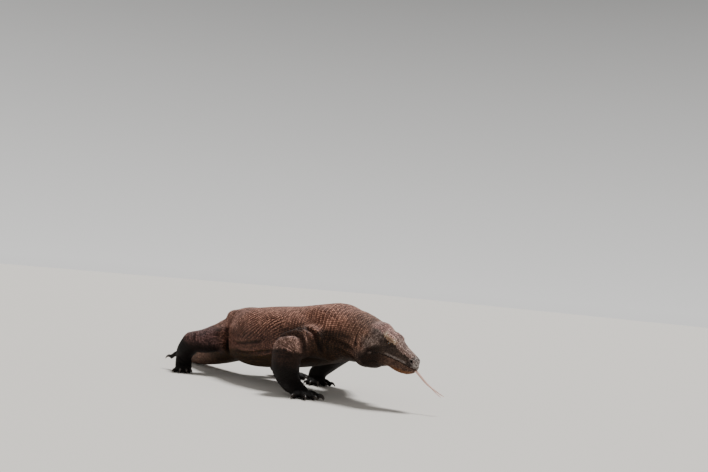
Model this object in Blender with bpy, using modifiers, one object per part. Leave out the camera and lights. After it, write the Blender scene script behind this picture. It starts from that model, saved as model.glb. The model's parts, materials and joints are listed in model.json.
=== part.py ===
"""A life-size Komodo dragon, an adult about 2.5 m long, walking with its head low and its tongue out.

The animal is modelled whole. Lofts of oval sections make its body, limbs and toes, and small ellipsoids
add the muscles. They are merged into one closed skin surface, which is reduced and then parted by thin
cuts at the places where a person would name its parts. Claws, eyes and tongue are solids of their own,
set in sockets.

While it is modelled, X runs forward along the trunk, Y to the animal's left and Z up, in metres, and the
origin is on the floor under the shoulder joints. The last step moves the origin to the floor under the
middle of the bounding box.
"""

import math

import bmesh
import bpy
import numpy as np
from mathutils import Matrix, Vector
from mathutils.bvhtree import BVHTree
from mathutils.geometry import convex_hull_2d

# ---- Driving dimensions -----------------------------------------------------------------------------
GAP = 0.0003  # clear space between neighbouring solids
BLADE_MARGIN = 0.003  # how far a cut reaches past the section that it parts
ROOT_CUT = 0.85  # share of the way from the shoulder or hip joint to the middle of the upper limb
WRIST_CUT = 0.80  # share of the way from the middle of the forearm to the wrist joint
ANKLE_CUT = 0.40  # the same from the middle of the shank to the ankle, above the fifth toe
CRUMB = 20  # corners in the smallest piece that is kept after cutting
VOXEL = 0.0050  # cell of the merged surface
SMOOTHING = 4  # passes that soften the whole merged surface
MUSCLE_SMOOTHING = 22  # further passes away from the toes
BODY_TRIANGLES = 3700  # of the merged surface, before it is parted
RING_SIDES = 28  # corners of a loft's section
RING_STEP = 0.018  # distance between a loft's sections
SOLE_DEPTH = 0.004  # how far soles and tail reach under the floor before they are cut flat on it

TAIL_LENGTH = 1.34
TAIL_ROOT = Vector((-0.640, -0.028, 0.0))  # over the vent, in plan
TAIL_FIRST_TURN = math.radians(5)  # towards the left, at the root
TAIL_LAST_TURN = math.radians(76)  # at the tip
TAIL_LANDING = 0.36  # share of the tail's length where it meets the floor
TAIL_ROOT_CLEARANCE = 0.060  # under the tail at its root

EYE_LEVEL = Vector((0.300, -0.030, 0.2404))  # the point midway between the eyes
HEAD_PITCH = math.radians(-27.6)
HEAD_YAW = math.radians(12.8)
HEAD_ROLL = math.radians(5)  # the left side higher
EYE_RADIUS = 0.0112
EYE_OFFSET = Vector((-0.002, 0.0345, -0.0065))  # from EYE_LEVEL, in the head's own axes
MOUTH_LEVEL = -0.038  # of the mouth line, in the head's own axes

SKIN_TONE = (0.12, 0.085, 0.07, 1)
LEG_TONE = (0.06, 0.05, 0.047, 1)
CLAW_TONE = (0.09, 0.075, 0.06, 1)
EYE_TONE = (0.03, 0.018, 0.01, 1)
TONGUE_TONE = (0.72, 0.47, 0.38, 1)

# A section is x, y, z of its widest level, half its width, and its height above and below that level.
TRUNK_SECTIONS = [
    (-0.585, -0.030, 0.180, 0.098, 0.109, 0.124),
    (-0.480, -0.040, 0.178, 0.122, 0.121, 0.126),
    (-0.330, -0.048, 0.186, 0.146, 0.129, 0.120),
    (-0.180, -0.046, 0.200, 0.144, 0.128, 0.114),
    (-0.050, -0.036, 0.226, 0.122, 0.121, 0.111),
    (0.040, -0.030, 0.240, 0.106, 0.113, 0.106),
    (0.120, -0.028, 0.236, 0.090, 0.094, 0.092),
    (0.190, -0.029, 0.223, 0.080, 0.083, 0.096),
]
# In the head's own axes, from EYE_LEVEL: forward, top, bottom, half width, level of the widest part.
HEAD_SECTIONS = [
    (-0.065, 0.038, -0.118, 0.062, -0.034),
    (-0.030, 0.029, -0.108, 0.054, -0.036),
    (0.000, 0.025, -0.096, 0.045, -0.038),
    (0.030, 0.0165, -0.091, 0.039, -0.040),
    (0.060, 0.0065, -0.087, 0.035, -0.040),
    (0.088, 0.002, -0.081, 0.032, -0.040),
    (0.109, -0.002, -0.073, 0.028, -0.040),
    (0.123, -0.012, -0.063, 0.020, -0.038),
    (0.132, -0.026, -0.048, 0.009, -0.037),
]


# ---- Small tools ------------------------------------------------------------------------------------
def clear_scene():
    for obj in list(bpy.data.objects):
        bpy.data.objects.remove(obj)
    for collection in list(bpy.data.collections):
        bpy.data.collections.remove(collection)


def head_axes():
    """The head's forward, left and up directions."""
    forward = Vector(
        (
            math.cos(HEAD_PITCH) * math.cos(HEAD_YAW),
            math.cos(HEAD_PITCH) * math.sin(HEAD_YAW),
            math.sin(HEAD_PITCH),
        )
    )
    level = Vector((-math.sin(HEAD_YAW), math.cos(HEAD_YAW), 0))
    left = level * math.cos(HEAD_ROLL) + forward.cross(level) * math.sin(HEAD_ROLL)
    return forward, left, forward.cross(left)


def at_head(forward, left, up):
    """A point given in the head's own axes from EYE_LEVEL."""
    axes = head_axes()
    return EYE_LEVEL + axes[0] * forward + axes[1] * left + axes[2] * up


def smooth_rows(rows, step):
    """Rows of numbers that start with a point, read from a Catmull-Rom curve at about that spacing."""
    rows = np.array(rows, float)
    padded = np.vstack([2 * rows[0] - rows[1], rows, 2 * rows[-1] - rows[-2]])
    knots = np.sqrt(np.linalg.norm(np.diff(padded[:, :3], axis=0), axis=1))
    knots = np.concatenate([[0], np.cumsum(knots)])
    found = []
    for i in range(1, len(rows)):
        count = max(1, round(np.linalg.norm(rows[i, :3] - rows[i - 1, :3]) / step))
        for t in np.linspace(knots[i], knots[i + 1], count, endpoint=False):
            found.append(curve_row(padded[i - 1 : i + 3], knots[i - 1 : i + 3], t))
    return np.array([*found, rows[-1]])


def curve_row(p, k, t):
    """Barry and Goldman's form of the Catmull-Rom curve through rows p at knots k."""
    a = [((k[i + 1] - t) * p[i] + (t - k[i]) * p[i + 1]) / (k[i + 1] - k[i]) for i in range(3)]
    b = [((k[i + 2] - t) * a[i] + (t - k[i]) * a[i + 1]) / (k[i + 2] - k[i]) for i in range(2)]
    return ((k[2] - t) * b[0] + (t - k[1]) * b[1]) / (k[2] - k[1])


def section_frames(centres, across):
    """For each centre, the directions across and over the loft. Its course is at right angles to both."""
    course = np.gradient(centres, axis=0)
    course /= np.linalg.norm(course, axis=1)[:, None]
    side = across - course * (course @ across)[:, None] if across.ndim == 1 else across
    side /= np.linalg.norm(side, axis=1)[:, None]
    return side, np.cross(course, side)


def oval(centre, side, over, half_width, above, below, squareness=2.0, sides=RING_SIDES):
    """The corners of one section, a superellipse whose upper and lower halves differ."""
    points = []
    for i in range(sides):
        angle = 2 * math.pi * i / sides
        c, s = math.cos(angle), math.sin(angle)
        x = math.copysign(abs(c) ** (2 / squareness), c) * half_width
        y = math.copysign(abs(s) ** (2 / squareness), s) * (above if s > 0 else below)
        points.append(Vector(centre + side * x + over * y))
    return points


def loft(name, rings):
    """A closed surface through rings of equal count, with flat ends."""
    mesh = bmesh.new()
    loops = [[mesh.verts.new(p) for p in ring] for ring in rings]
    for near, far in zip(loops, loops[1:]):
        for i in range(len(near)):
            j = (i + 1) % len(near)
            mesh.faces.new((near[i], near[j], far[j], far[i]))
    mesh.faces.new(loops[0][::-1])
    mesh.faces.new(loops[-1])
    bmesh.ops.recalc_face_normals(mesh, faces=mesh.faces)
    return add_object(name, mesh)


def add_object(name, mesh):
    data = bpy.data.meshes.new(name)
    mesh.to_mesh(data)
    mesh.free()
    obj = bpy.data.objects.new(name, data)
    bpy.context.scene.collection.objects.link(obj)
    return obj


def ellipsoid(name, centre, radii, turn=None):
    """A muscle or a bony swelling. Radii are along its own x, y and z."""
    mesh = bmesh.new()
    place = Matrix.Translation(centre) @ (turn or Matrix.Identity(4)) @ Matrix.Diagonal((*radii, 1))
    bmesh.ops.create_uvsphere(mesh, u_segments=20, v_segments=12, radius=1, matrix=place)
    return add_object(name, mesh)


def limb(name, rows, across, sides=RING_SIDES, squareness=2.0, step=RING_STEP):
    """A length of limb with round ends. Rows are x, y, z, half width along across, half depth."""
    rows = smooth_rows(rows, step)
    side, over = section_frames(rows[:, :3], np.array(across, float))
    rings = [
        oval(r[:3], s, o, r[3], r[4], r[4], squareness, sides)
        for r, s, o in zip(rows, side, over)
    ]
    return loft(name, [*dome(rings[1], rings[0], rows[0])[::-1], *rings, *dome(rings[-2], rings[-1], rows[-1])])


def dome(inner, ring, row):
    """Three smaller sections past a limb's end, which round it."""
    centre = Vector(row[:3])
    back = sum(inner, Vector()) / len(inner)
    outward = (centre - back).normalized() * (row[3] + row[4]) / 2
    found = []
    for angle in (math.radians(35), math.radians(62), math.radians(80)):
        middle = centre + outward * math.sin(angle)
        found.append([middle + (p - centre) * math.cos(angle) for p in ring])
    return found


def baked(obj):
    """The object with its modifiers applied."""
    graph = bpy.context.evaluated_depsgraph_get()
    mesh = bpy.data.meshes.new_from_object(obj.evaluated_get(graph))
    obj.modifiers.clear()
    obj.data = mesh
    return obj


def joined(name, objects):
    """One object that holds the meshes of several, which are removed."""
    mesh = bmesh.new()
    for obj in objects:
        mesh.from_mesh(obj.data)
        bpy.data.objects.remove(obj)
    return add_object(name, mesh)


def cut(obj, cutter):
    """Takes the cutter away from the object, and removes the cutter."""
    modifier = obj.modifiers.new("cut", "BOOLEAN")
    modifier.operation = "DIFFERENCE"
    modifier.object = cutter
    baked(obj)
    bpy.data.objects.remove(cutter)


def blade(obj, point, normal):
    """A thin plate through the point, just wider than the section of the body that it meets there."""
    point, normal = Vector(point), Vector(normal).normalized()
    mesh = bmesh.new()
    mesh.from_mesh(obj.data)
    geometry = [*mesh.verts, *mesh.edges, *mesh.faces]
    bmesh.ops.bisect_plane(
        mesh, geom=geometry, plane_co=point, plane_no=normal, clear_outer=True, clear_inner=True
    )
    outline = min(linked_groups(mesh.verts), key=lambda group: (middle_of(group) - point).length)
    across = normal.orthogonal().normalized()
    over = normal.cross(across)
    centre = middle_of(outline)
    flat = [((v.co - centre).dot(across), (v.co - centre).dot(over)) for v in outline]
    mesh.free()
    plate = bmesh.new()
    corners = []
    for i in convex_hull_2d(flat):
        spot = Vector(flat[i])
        spot *= 1 + BLADE_MARGIN / spot.length
        corners.append(centre + across * spot.x + over * spot.y)
    face = plate.faces.new([plate.verts.new(c - normal * GAP / 2) for c in corners])
    top = bmesh.ops.extrude_face_region(plate, geom=[face])["geom"]
    bmesh.ops.translate(plate, vec=normal * GAP, verts=[v for v in top if isinstance(v, bmesh.types.BMVert)])
    bmesh.ops.recalc_face_normals(plate, faces=plate.faces)
    return add_object("blade", plate)


def linked_groups(verts):
    """The verts sorted into groups that edges connect."""
    seen, groups = set(), []
    for start in verts:
        if start in seen:
            continue
        group, todo = {start}, [start]
        while todo:
            for edge in todo.pop().link_edges:
                for vert in edge.verts:
                    if vert not in group:
                        group.add(vert)
                        todo.append(vert)
        seen |= group
        groups.append(group)
    return groups


def middle_of(verts):
    return sum((v.co for v in verts), Vector()) / len(verts)


def grown(obj, by):
    """A copy whose surface lies outside the object's by that much."""
    mesh = bmesh.new()
    mesh.from_mesh(obj.data)
    mesh.normal_update()
    moves = [v.normal * v.calc_shell_factor() * by for v in mesh.verts]
    for vert, move in zip(mesh.verts, moves):
        vert.co += move
    return add_object(obj.name + "_socket", mesh)


def material(name, colour, roughness):
    made = bpy.data.materials.new(name)
    made.use_nodes = True
    shader = made.node_tree.nodes["Principled BSDF"]
    shader.inputs["Base Color"].default_value = colour
    shader.inputs["Roughness"].default_value = roughness
    made.diffuse_color = colour
    return made


# ---- Body -------------------------------------------------------------------------------------------
def tail_rows():
    """Sections of the tail: it drops from the hips to the floor and curves to the left behind them."""
    rows = []
    place = TAIL_ROOT.copy()
    count = 22
    for i in range(count + 1):
        share = i / count
        half_depth = 0.004 + 0.088 * (1 - share) ** 1.1
        half_width = 0.0035 + 0.0845 * (1 - share) ** 1.6
        landing = min(1, share / TAIL_LANDING)
        clearance = TAIL_ROOT_CLEARANCE * (1 - landing) ** 2 - min(SOLE_DEPTH, 0.35 * half_depth)
        rows.append((place.x, place.y, clearance + half_depth, half_width, half_depth, half_depth))
        turn = TAIL_FIRST_TURN + (TAIL_LAST_TURN - TAIL_FIRST_TURN) * share**1.3
        place += Vector((-math.cos(turn), math.sin(turn), 0)) * TAIL_LENGTH / count
    return rows[::-1]


def body_loft():
    """Tail, trunk, neck and head in one run, from the tip of the tail to the snout."""
    rows = smooth_rows([*tail_rows()[:-1], *TRUNK_SECTIONS], RING_STEP)
    side = np.cross((0, 0, 1), np.gradient(rows[:, :3], axis=0))
    side, over = section_frames(rows[:, :3], side)
    rings = [
        oval(r[:3], s, o, r[3], r[4], r[5], 2.15)
        for r, s, o in zip(rows, side, over)
    ]
    _, left, up = head_axes()
    heads = smooth_rows([(f, 0, 0, top, low, half, level) for f, top, low, half, level in HEAD_SECTIONS], 0.010)
    for f, _, _, top, low, half, level in heads:
        centre = np.array(at_head(f, 0, level))
        rings.append(oval(centre, np.array(left), np.array(up), half, top - level, level - low, 2.4))
    return loft("body", rings)


def head_muscles():
    """Jaw muscles, cheeks, brow ridges and the swelling of the throat, on both sides."""
    forward, left, up = head_axes()
    turn = Matrix((forward, left, up)).transposed().to_4x4()
    for side in (-1, 1):
        ellipsoid("jaw_muscle", at_head(-0.052, side * 0.038, -0.030), (0.050, 0.031, 0.046), turn)
        ellipsoid("cheek", at_head(0.000, side * 0.028, -0.026), (0.050, 0.020, 0.026), turn)
        ellipsoid("brow", at_head(-0.004, side * 0.023, 0.0170), (0.028, 0.0095, 0.0085), turn)
        ellipsoid("nose", at_head(0.106, side * 0.015, -0.014), (0.019, 0.012, 0.014), turn)
    ellipsoid("throat", at_head(-0.066, 0.0, -0.113), (0.060, 0.044, 0.037), turn)


def body_muscles():
    """Shoulder blades, hip bones and the root of each thigh."""
    for side in (-1, 1):
        ellipsoid("shoulder_blade", (-0.040, side * 0.062 - 0.033, 0.285), (0.085, 0.048, 0.052))
        ellipsoid("chest_side", (0.030, side * 0.060 - 0.030, 0.195), (0.075, 0.050, 0.064))
        ellipsoid("hip_bone", (-0.590, side * 0.052 - 0.030, 0.246), (0.062, 0.036, 0.034))
        ellipsoid("thigh_root", (-0.628, side * 0.066 - 0.030, 0.172), (0.080, 0.050, 0.064))


# ---- Limbs ------------------------------------------------------------------------------------------
# side is -1 for the animal's right and 1 for its left. Joints are listed from the body outwards, each with
# half the limb's thickness along and across. heading is the way that the toes point, in plan.
LEGS = {
    "right_fore": {
        "side": -1,
        "root": (0.000, -0.090, 0.205),
        "shoulder": (-0.015, -0.135, 0.205, 0.068, 0.066),
        "upper": (-0.042, -0.192, 0.192, 0.059, 0.058),
        "joint": (-0.061, -0.231, 0.166, 0.057, 0.057),
        "lower": (-0.053, -0.236, 0.090, 0.054, 0.052),
        "end": (-0.028, -0.228, 0.044, 0.039, 0.036),
        "ball": (0.034, -0.224, 0.015),
        "heading": 0,
        "palm": (0.043, 0.019),
        "toes": ((36, 0.042), (14, 0.060), (-6, 0.068), (-28, 0.062), (-62, 0.046)),
        "hind": False,
    },
    "left_fore": {
        "side": 1,
        "root": (-0.020, 0.030, 0.210),
        "shoulder": (-0.050, 0.078, 0.208, 0.066, 0.064),
        "upper": (-0.118, 0.142, 0.196, 0.057, 0.056),
        "joint": (-0.184, 0.186, 0.166, 0.053, 0.053),
        "lower": (-0.260, 0.178, 0.106, 0.043, 0.041),
        "end": (-0.324, 0.156, 0.044, 0.034, 0.033),
        "ball": (-0.308, 0.146, 0.015),
        "heading": -46,
        "palm": (0.041, 0.019),
        "toes": ((-34, 0.034), (-12, 0.048), (8, 0.056), (30, 0.054), (62, 0.042)),
        "hind": False,
    },
    "right_hind": {
        "side": -1,
        "root": (-0.615, -0.075, 0.180),
        "shoulder": (-0.632, -0.112, 0.166, 0.062, 0.062),
        "upper": (-0.664, -0.168, 0.138, 0.054, 0.054),
        "joint": (-0.702, -0.218, 0.128, 0.044, 0.044),
        "lower": (-0.730, -0.226, 0.094, 0.041, 0.042),
        "end": (-0.752, -0.224, 0.064, 0.034, 0.034),
        "ball": (-0.714, -0.244, 0.015),
        "heading": -36,
        "palm": (0.036, 0.020),
        "toes": ((26, 0.042), (10, 0.056), (-6, 0.064), (-22, 0.062), (-120, 0.050)),
        "hind": True,
    },
    "left_hind": {
        "side": 1,
        "root": (-0.600, 0.020, 0.185),
        "shoulder": (-0.590, 0.068, 0.184, 0.062, 0.062),
        "upper": (-0.558, 0.144, 0.178, 0.054, 0.054),
        "joint": (-0.530, 0.200, 0.164, 0.044, 0.044),
        "lower": (-0.568, 0.184, 0.104, 0.040, 0.041),
        "end": (-0.600, 0.162, 0.046, 0.033, 0.033),
        "ball": (-0.520, 0.164, 0.015),
        "heading": 6,
        "palm": (0.038, 0.020),
        "toes": ((-30, 0.044), (-12, 0.064), (7, 0.078), (29, 0.084), (78, 0.052)),
        "hind": True,
    },
}
TOE_RADIUS = 0.0130
CLAW_LENGTH = 0.034


def in_plan(degrees):
    return Vector((math.cos(math.radians(degrees)), math.sin(math.radians(degrees)), 0))


def toe_courses(leg):
    """For each toe, its points from root to tip, its direction in plan and its number, 1 being the inner."""
    ball = Vector(leg["ball"])
    palm_half = leg["palm"][0]
    found = []
    for number, (turn, length) in enumerate(leg["toes"], start=1):
        direction = in_plan(leg["heading"] + turn)
        across = in_plan(leg["heading"] + 90)
        spread = direction.dot(across) * palm_half * 0.62
        root = ball + across * spread + in_plan(leg["heading"]) * palm_half * 0.25
        if leg["hind"] and number == 5:
            root = Vector(leg["end"][:3]) + direction * 0.012
            root.z = max(root.z, 0.016)
        low = TOE_RADIUS - SOLE_DEPTH
        drop = root.z > 0.055  # a toe that starts on a raised heel hangs clear of the floor
        end_height = root.z - 0.014 if drop else low
        middle = root + direction * length * 0.5
        middle.z = root.z + 0.004 if drop else low + 0.009
        tip = root + direction * length
        tip.z = end_height
        found.append((number, [root, middle, tip], direction))
    return found


def make_leg(name, leg):
    """Upper and lower limb, the palm or sole, and five toes, as overlapping lofts."""
    root, joint, end = leg["root"], leg["joint"], leg["end"]
    limb(name, [(*root, leg["shoulder"][3], leg["shoulder"][4]), leg["shoulder"], leg["upper"], joint], (1, 0, 0.3))
    limb(name, [joint, leg["lower"], end], (1, 0.2, 0))
    ball = Vector(leg["ball"])
    forward = in_plan(leg["heading"])
    half, thick = leg["palm"]
    ankle = Vector(end[:3])
    front = ball + forward * half * 0.35
    across = in_plan(leg["heading"] + 90)
    limb(
        name,
        [
            (*ankle, end[3] * 0.95, end[4] * 0.9),
            (*ankle.lerp(ball, 0.5), (end[3] + half) / 2, (end[4] + thick) / 2),
            (*ball, half, thick),
            (*front, half * 0.9, thick * 0.8),
        ],
        across,
    )
    for _, points, direction in toe_courses(leg):
        rows = [
            (*points[0], TOE_RADIUS * 1.1, TOE_RADIUS * 1.05),
            (*points[1], TOE_RADIUS, TOE_RADIUS),
            (*points[2], TOE_RADIUS * 0.82, TOE_RADIUS * 0.86),
        ]
        limb(name, rows, direction.cross(Vector((0, 0, 1))), sides=14, step=0.012)


def make_claw(name, points, direction):
    """A curved, sharp, slightly flattened claw that leaves the toe's end and bends down to the floor."""
    tip = points[2]
    start = tip + direction * TOE_RADIUS * 0.10 + Vector((0, 0, TOE_RADIUS * 0.30))
    rows = []
    steps = 4
    for i in range(steps + 1):
        share = i / steps
        bend = math.radians(16 - 96 * share)
        thick = 0.0066 * (1 - share) ** 0.75 + 0.0007
        rows.append((*start, thick * 0.72, thick))
        start = start + (direction * math.cos(bend) + Vector((0, 0, math.sin(bend)))) * CLAW_LENGTH / steps
    lowest = min(row[2] - row[4] for row in rows)
    lift = max(0.0, 0.0008 - lowest)
    rows = [(x, y, z + lift * i / steps, w, h) for i, (x, y, z, w, h) in enumerate(rows)]
    side, over = section_frames(np.array(rows)[:, :3], np.array(direction.cross(Vector((0, 0, 1)))))
    rings = [oval(np.array(r[:3]), s, o, r[3], r[4], r[4], sides=6) for r, s, o in zip(rows, side, over)]
    return loft(name, rings)


# ---- Eyes and tongue --------------------------------------------------------------------------------
def make_eye(name, side):
    centre = at_head(EYE_OFFSET.x, side * EYE_OFFSET.y, EYE_OFFSET.z)
    mesh = bmesh.new()
    bmesh.ops.create_icosphere(mesh, subdivisions=2, radius=EYE_RADIUS, matrix=Matrix.Translation(centre))
    return add_object(name, mesh)


def make_tongue():
    """A long flat tongue that hangs from the closed lips and ends in two thin tines."""
    forward, left, _ = head_axes()
    ahead = Vector((forward.x, forward.y, 0)).normalized()
    start = at_head(0.110, 0, MOUTH_LEVEL - 0.001)

    def down_course(reach, drop):
        return start + ahead * reach - Vector((0, 0, drop))

    stem = [
        (*down_course(0, 0), 0.0052, 0.0030),
        (*down_course(0.030, 0.024), 0.0050, 0.0029),
        (*down_course(0.062, 0.050), 0.0046, 0.0027),
        (*down_course(0.096, 0.070), 0.0040, 0.0024),
    ]
    pieces = [limb("tongue", stem, left, sides=8, step=0.03)]
    for side in (-1, 1):
        tine = [
            (*(down_course(0.090, 0.067) + left * side * 0.0022), 0.0022, 0.0021),
            (*(down_course(0.108, 0.078) + left * side * 0.0055), 0.0017, 0.0017),
            (*(down_course(0.130, 0.089) + left * side * 0.0105), 0.0009, 0.0009),
        ]
        pieces.append(limb("tine", tine, left, sides=6, step=0.02))
    tongue = pieces[0]
    for tine in pieces[1:]:
        modifier = tongue.modifiers.new("join", "BOOLEAN")
        modifier.operation = "UNION"
        modifier.object = tine
        baked(tongue)
        bpy.data.objects.remove(tine)
    return tongue


# ---- Merging and parting ----------------------------------------------------------------------------
def merged_surface(objects):
    """All the flesh as one closed surface, standing on small flats at floor level."""
    body = joined("flesh", objects)
    remesh = body.modifiers.new("merge", "REMESH")
    remesh.mode = "VOXEL"
    remesh.voxel_size = VOXEL
    smooth = body.modifiers.new("soften", "SMOOTH")
    smooth.factor = 0.5
    smooth.iterations = SMOOTHING
    baked(body)
    balls = [Vector(leg["ball"]) for leg in LEGS.values()]
    thick = body.vertex_groups.new(name="thick")
    far = [v.index for v in body.data.vertices if min((v.co - ball).length for ball in balls) > 0.095]
    thick.add(far, 1.0, "REPLACE")
    smooth = body.modifiers.new("soften", "SMOOTH")
    smooth.factor = 0.5
    smooth.iterations = MUSCLE_SMOOTHING
    smooth.vertex_group = "thick"
    baked(body)
    body.vertex_groups.clear()
    reduce = body.modifiers.new("reduce", "DECIMATE")
    reduce.ratio = BODY_TRIANGLES / (2 * len(body.data.polygons))
    baked(body)
    mesh = bmesh.new()
    mesh.from_mesh(body.data)
    geometry = [*mesh.verts, *mesh.edges, *mesh.faces]
    bmesh.ops.bisect_plane(mesh, geom=geometry, plane_co=(0, 0, 0), plane_no=(0, 0, -1), clear_outer=True)
    bmesh.ops.holes_fill(mesh, edges=[e for e in mesh.edges if e.is_boundary])
    bmesh.ops.triangulate(mesh, faces=mesh.faces)
    mesh.to_mesh(body.data)
    mesh.free()
    return body


def halfway(a, b, share):
    return Vector(a[:3]).lerp(Vector(b[:3]), share)


def bisector(before, at, after):
    first = (Vector(at[:3]) - Vector(before[:3])).normalized()
    second = (Vector(after[:3]) - Vector(at[:3])).normalized()
    return (first + second).normalized()


def limb_cuts(leg):
    """Where a limb is parted: below the shoulder or hip, at the elbow or knee, and at the wrist or ankle."""
    shoulder, upper, joint, lower, end = (leg[k] for k in ("shoulder", "upper", "joint", "lower", "end"))
    outward = Vector(upper[:3]) - Vector(shoulder[:3])
    if not leg["hind"]:
        outward.x = 0  # keeps the cut clear of the ribs
    return [
        (halfway(shoulder, upper, ROOT_CUT), outward),
        (joint[:3], bisector(upper, joint, lower)),
        (halfway(lower, end, ANKLE_CUT if leg["hind"] else WRIST_CUT), bisector(lower, end, leg["ball"])),
    ]


def body_cuts(tail):
    """Where the body is parted: behind the head, before the trunk, at the vent and along the tail."""
    forward = head_axes()[0]
    cuts = [
        (at_head(-0.118, 0, -0.030), Vector((forward.x, forward.y, forward.z * 0.55))),
        (Vector((0.098, -0.030, 0.235)), Vector((1, 0.02, -0.05))),
    ]
    for share in TAIL_CUTS:
        row, ahead = tail_at(tail, share)
        cuts.append((Vector(row[:3]), ahead))
    return cuts


TAIL_CUTS = (0.055, 0.27, 0.50, 0.74)


def tail_at(rows, share):
    """The section nearest to a share of the tail's length, and the way the tail runs there."""
    i = round((1 - share) * (len(rows) - 1))
    return rows[i], Vector(rows[i][:3]) - Vector(rows[i - 1][:3])


def name_places(tail):
    """A point well inside each part of the flesh."""
    places = {
        "head": at_head(-0.02, 0, -0.005),
        "neck": Vector((0.150, -0.030, 0.230)),
        "trunk": Vector((-0.300, -0.046, 0.190)),
    }
    ends = [*TAIL_CUTS, 1.0]
    for number in range(4):
        row, _ = tail_at(tail, (ends[number] + ends[number + 1]) / 2)
        places[f"tail_{number + 1}"] = Vector(row[:3])
    for name, leg in LEGS.items():
        words = ("thigh", "shank", "foot") if leg["hind"] else ("upper_arm", "forearm", "hand")
        side = name.split("_")[0]
        places[f"{side}_{words[0]}"] = halfway(leg["upper"], leg["joint"], 0.35)
        places[f"{side}_{words[1]}"] = Vector(leg["lower"][:3])
        places[f"{side}_{words[2]}"] = Vector(leg["ball"])
    return places


def loose_parts(obj):
    """The separate bodies of a mesh, each as an object of its own. Crumbs left by the cuts are dropped."""
    whole = bmesh.new()
    whole.from_mesh(obj.data)
    whole.verts.index_update()
    found = []
    for group in linked_groups(whole.verts):
        if len(group) < CRUMB:
            continue
        kept = {v.index for v in group}
        part = whole.copy()
        bmesh.ops.delete(part, geom=[v for v in part.verts if v.index not in kept], context="VERTS")
        found.append(add_object("part", part))
    whole.free()
    bpy.data.objects.remove(obj)
    return found


def name_parts(parts, places):
    """Each part takes the name of the place inside it, whose nearest surface is always its own."""
    trees = {}
    for part in parts:
        mesh = bmesh.new()
        mesh.from_mesh(part.data)
        trees[part] = BVHTree.FromBMesh(mesh)
        mesh.free()
    for name, place in places.items():
        nearest = min(trees, key=lambda part: trees[part].find_nearest(place)[3])
        nearest.name = name


def part_jaw(head):
    """Cuts the lower jaw from the head along the mouth line."""
    forward, left, up = head_axes()
    mesh = bmesh.new()
    turn = Matrix((forward, left, up)).transposed().to_4x4()
    place = Matrix.Translation(at_head(0, 0, MOUTH_LEVEL)) @ turn @ Matrix.Diagonal((0.6, 0.4, GAP, 1))
    bmesh.ops.create_cube(mesh, size=1, matrix=place)
    cut(head, add_object("blade", mesh))
    halves = loose_parts(head)
    halves.sort(key=lambda part: sum(up.dot(v.co) for v in part.data.vertices) / len(part.data.vertices))
    halves[-1].name = "head"
    halves[0].name = "lower_jaw"


def finish_parts(collection, tones):
    """Moves the origin, gives each part its material, and puts it in the animal's collection."""
    nodes = [o for o in bpy.context.scene.objects if o.type == "MESH"]
    corners = np.array([v.co for o in nodes for v in o.data.vertices])
    low, high = corners.min(0), corners.max(0)
    origin = Vector(((low[0] + high[0]) / 2, (low[1] + high[1]) / 2, low[2]))
    for obj in nodes:
        obj.data.transform(Matrix.Translation(-origin))
        kind = next((word for word in tones if word in obj.name), "skin")
        obj.data.materials.clear()
        obj.data.materials.append(tones[kind])
        bpy.context.scene.collection.objects.unlink(obj)
        collection.objects.link(obj)


def main():
    clear_scene()
    collection = bpy.data.collections.new("komodo_dragon")
    bpy.context.scene.collection.children.link(collection)
    body_loft()
    head_muscles()
    body_muscles()
    for name, leg in LEGS.items():
        make_leg(name, leg)
    flesh = merged_surface([o for o in bpy.context.scene.objects if o.type == "MESH"])

    inserts = [make_eye("eye_right", -1), make_eye("eye_left", 1), make_tongue()]
    for name, leg in LEGS.items():
        end = "foot" if leg["hind"] else "hand"
        for number, points, direction in toe_courses(leg):
            claw = f"{name.split('_')[0]}_{end}_claw_{number}"
            inserts.append(make_claw(claw, points, direction))
    cut(flesh, joined("sockets", [grown(obj, GAP) for obj in inserts]))

    tail = tail_rows()
    cuts = body_cuts(tail)
    for leg in LEGS.values():
        cuts += limb_cuts(leg)
    blades = [blade(flesh, point, normal) for point, normal in cuts]
    for plate in blades:
        cut(flesh, plate)
    name_parts(loose_parts(flesh), name_places(tail))
    part_jaw(bpy.data.objects["head"])

    skin = material("beaded skin", SKIN_TONE, 0.65)
    leg_skin = material("dark leg skin", LEG_TONE, 0.7)
    tones = {
        "claw": material("claw horn", CLAW_TONE, 0.35),
        "eye": material("wet eye", EYE_TONE, 0.1),
        "tongue": material("moist tongue", TONGUE_TONE, 0.4),
        "skin": skin,
    }
    tones.update({word: leg_skin for word in ("arm", "hand", "thigh", "shank", "foot")})
    finish_parts(collection, tones)


main()
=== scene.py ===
"""The looks of a life-size Komodo dragon: one skin with its folds, its scales, lids, eyes, claws and tongue.

The flesh is built again from the sections that its solids have, finely, as one closed skin that lies a
scale's depth inside them. The head is then sculpted, folds are pressed in, and scales are set on it in rows
round the body, the limbs and the toes.

Everything is made in the animal's own frame: X forward along the trunk, Y to its left, Z up, in metres, with
the origin on the floor under the shoulder joints. HOME carries it to where the solids stand.
"""

import json
import math
from collections import namedtuple
from itertools import product

import bmesh
import bpy
import numpy as np
from mathutils import Matrix, Vector
from mathutils.bvhtree import BVHTree
from mathutils.kdtree import KDTree

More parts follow.
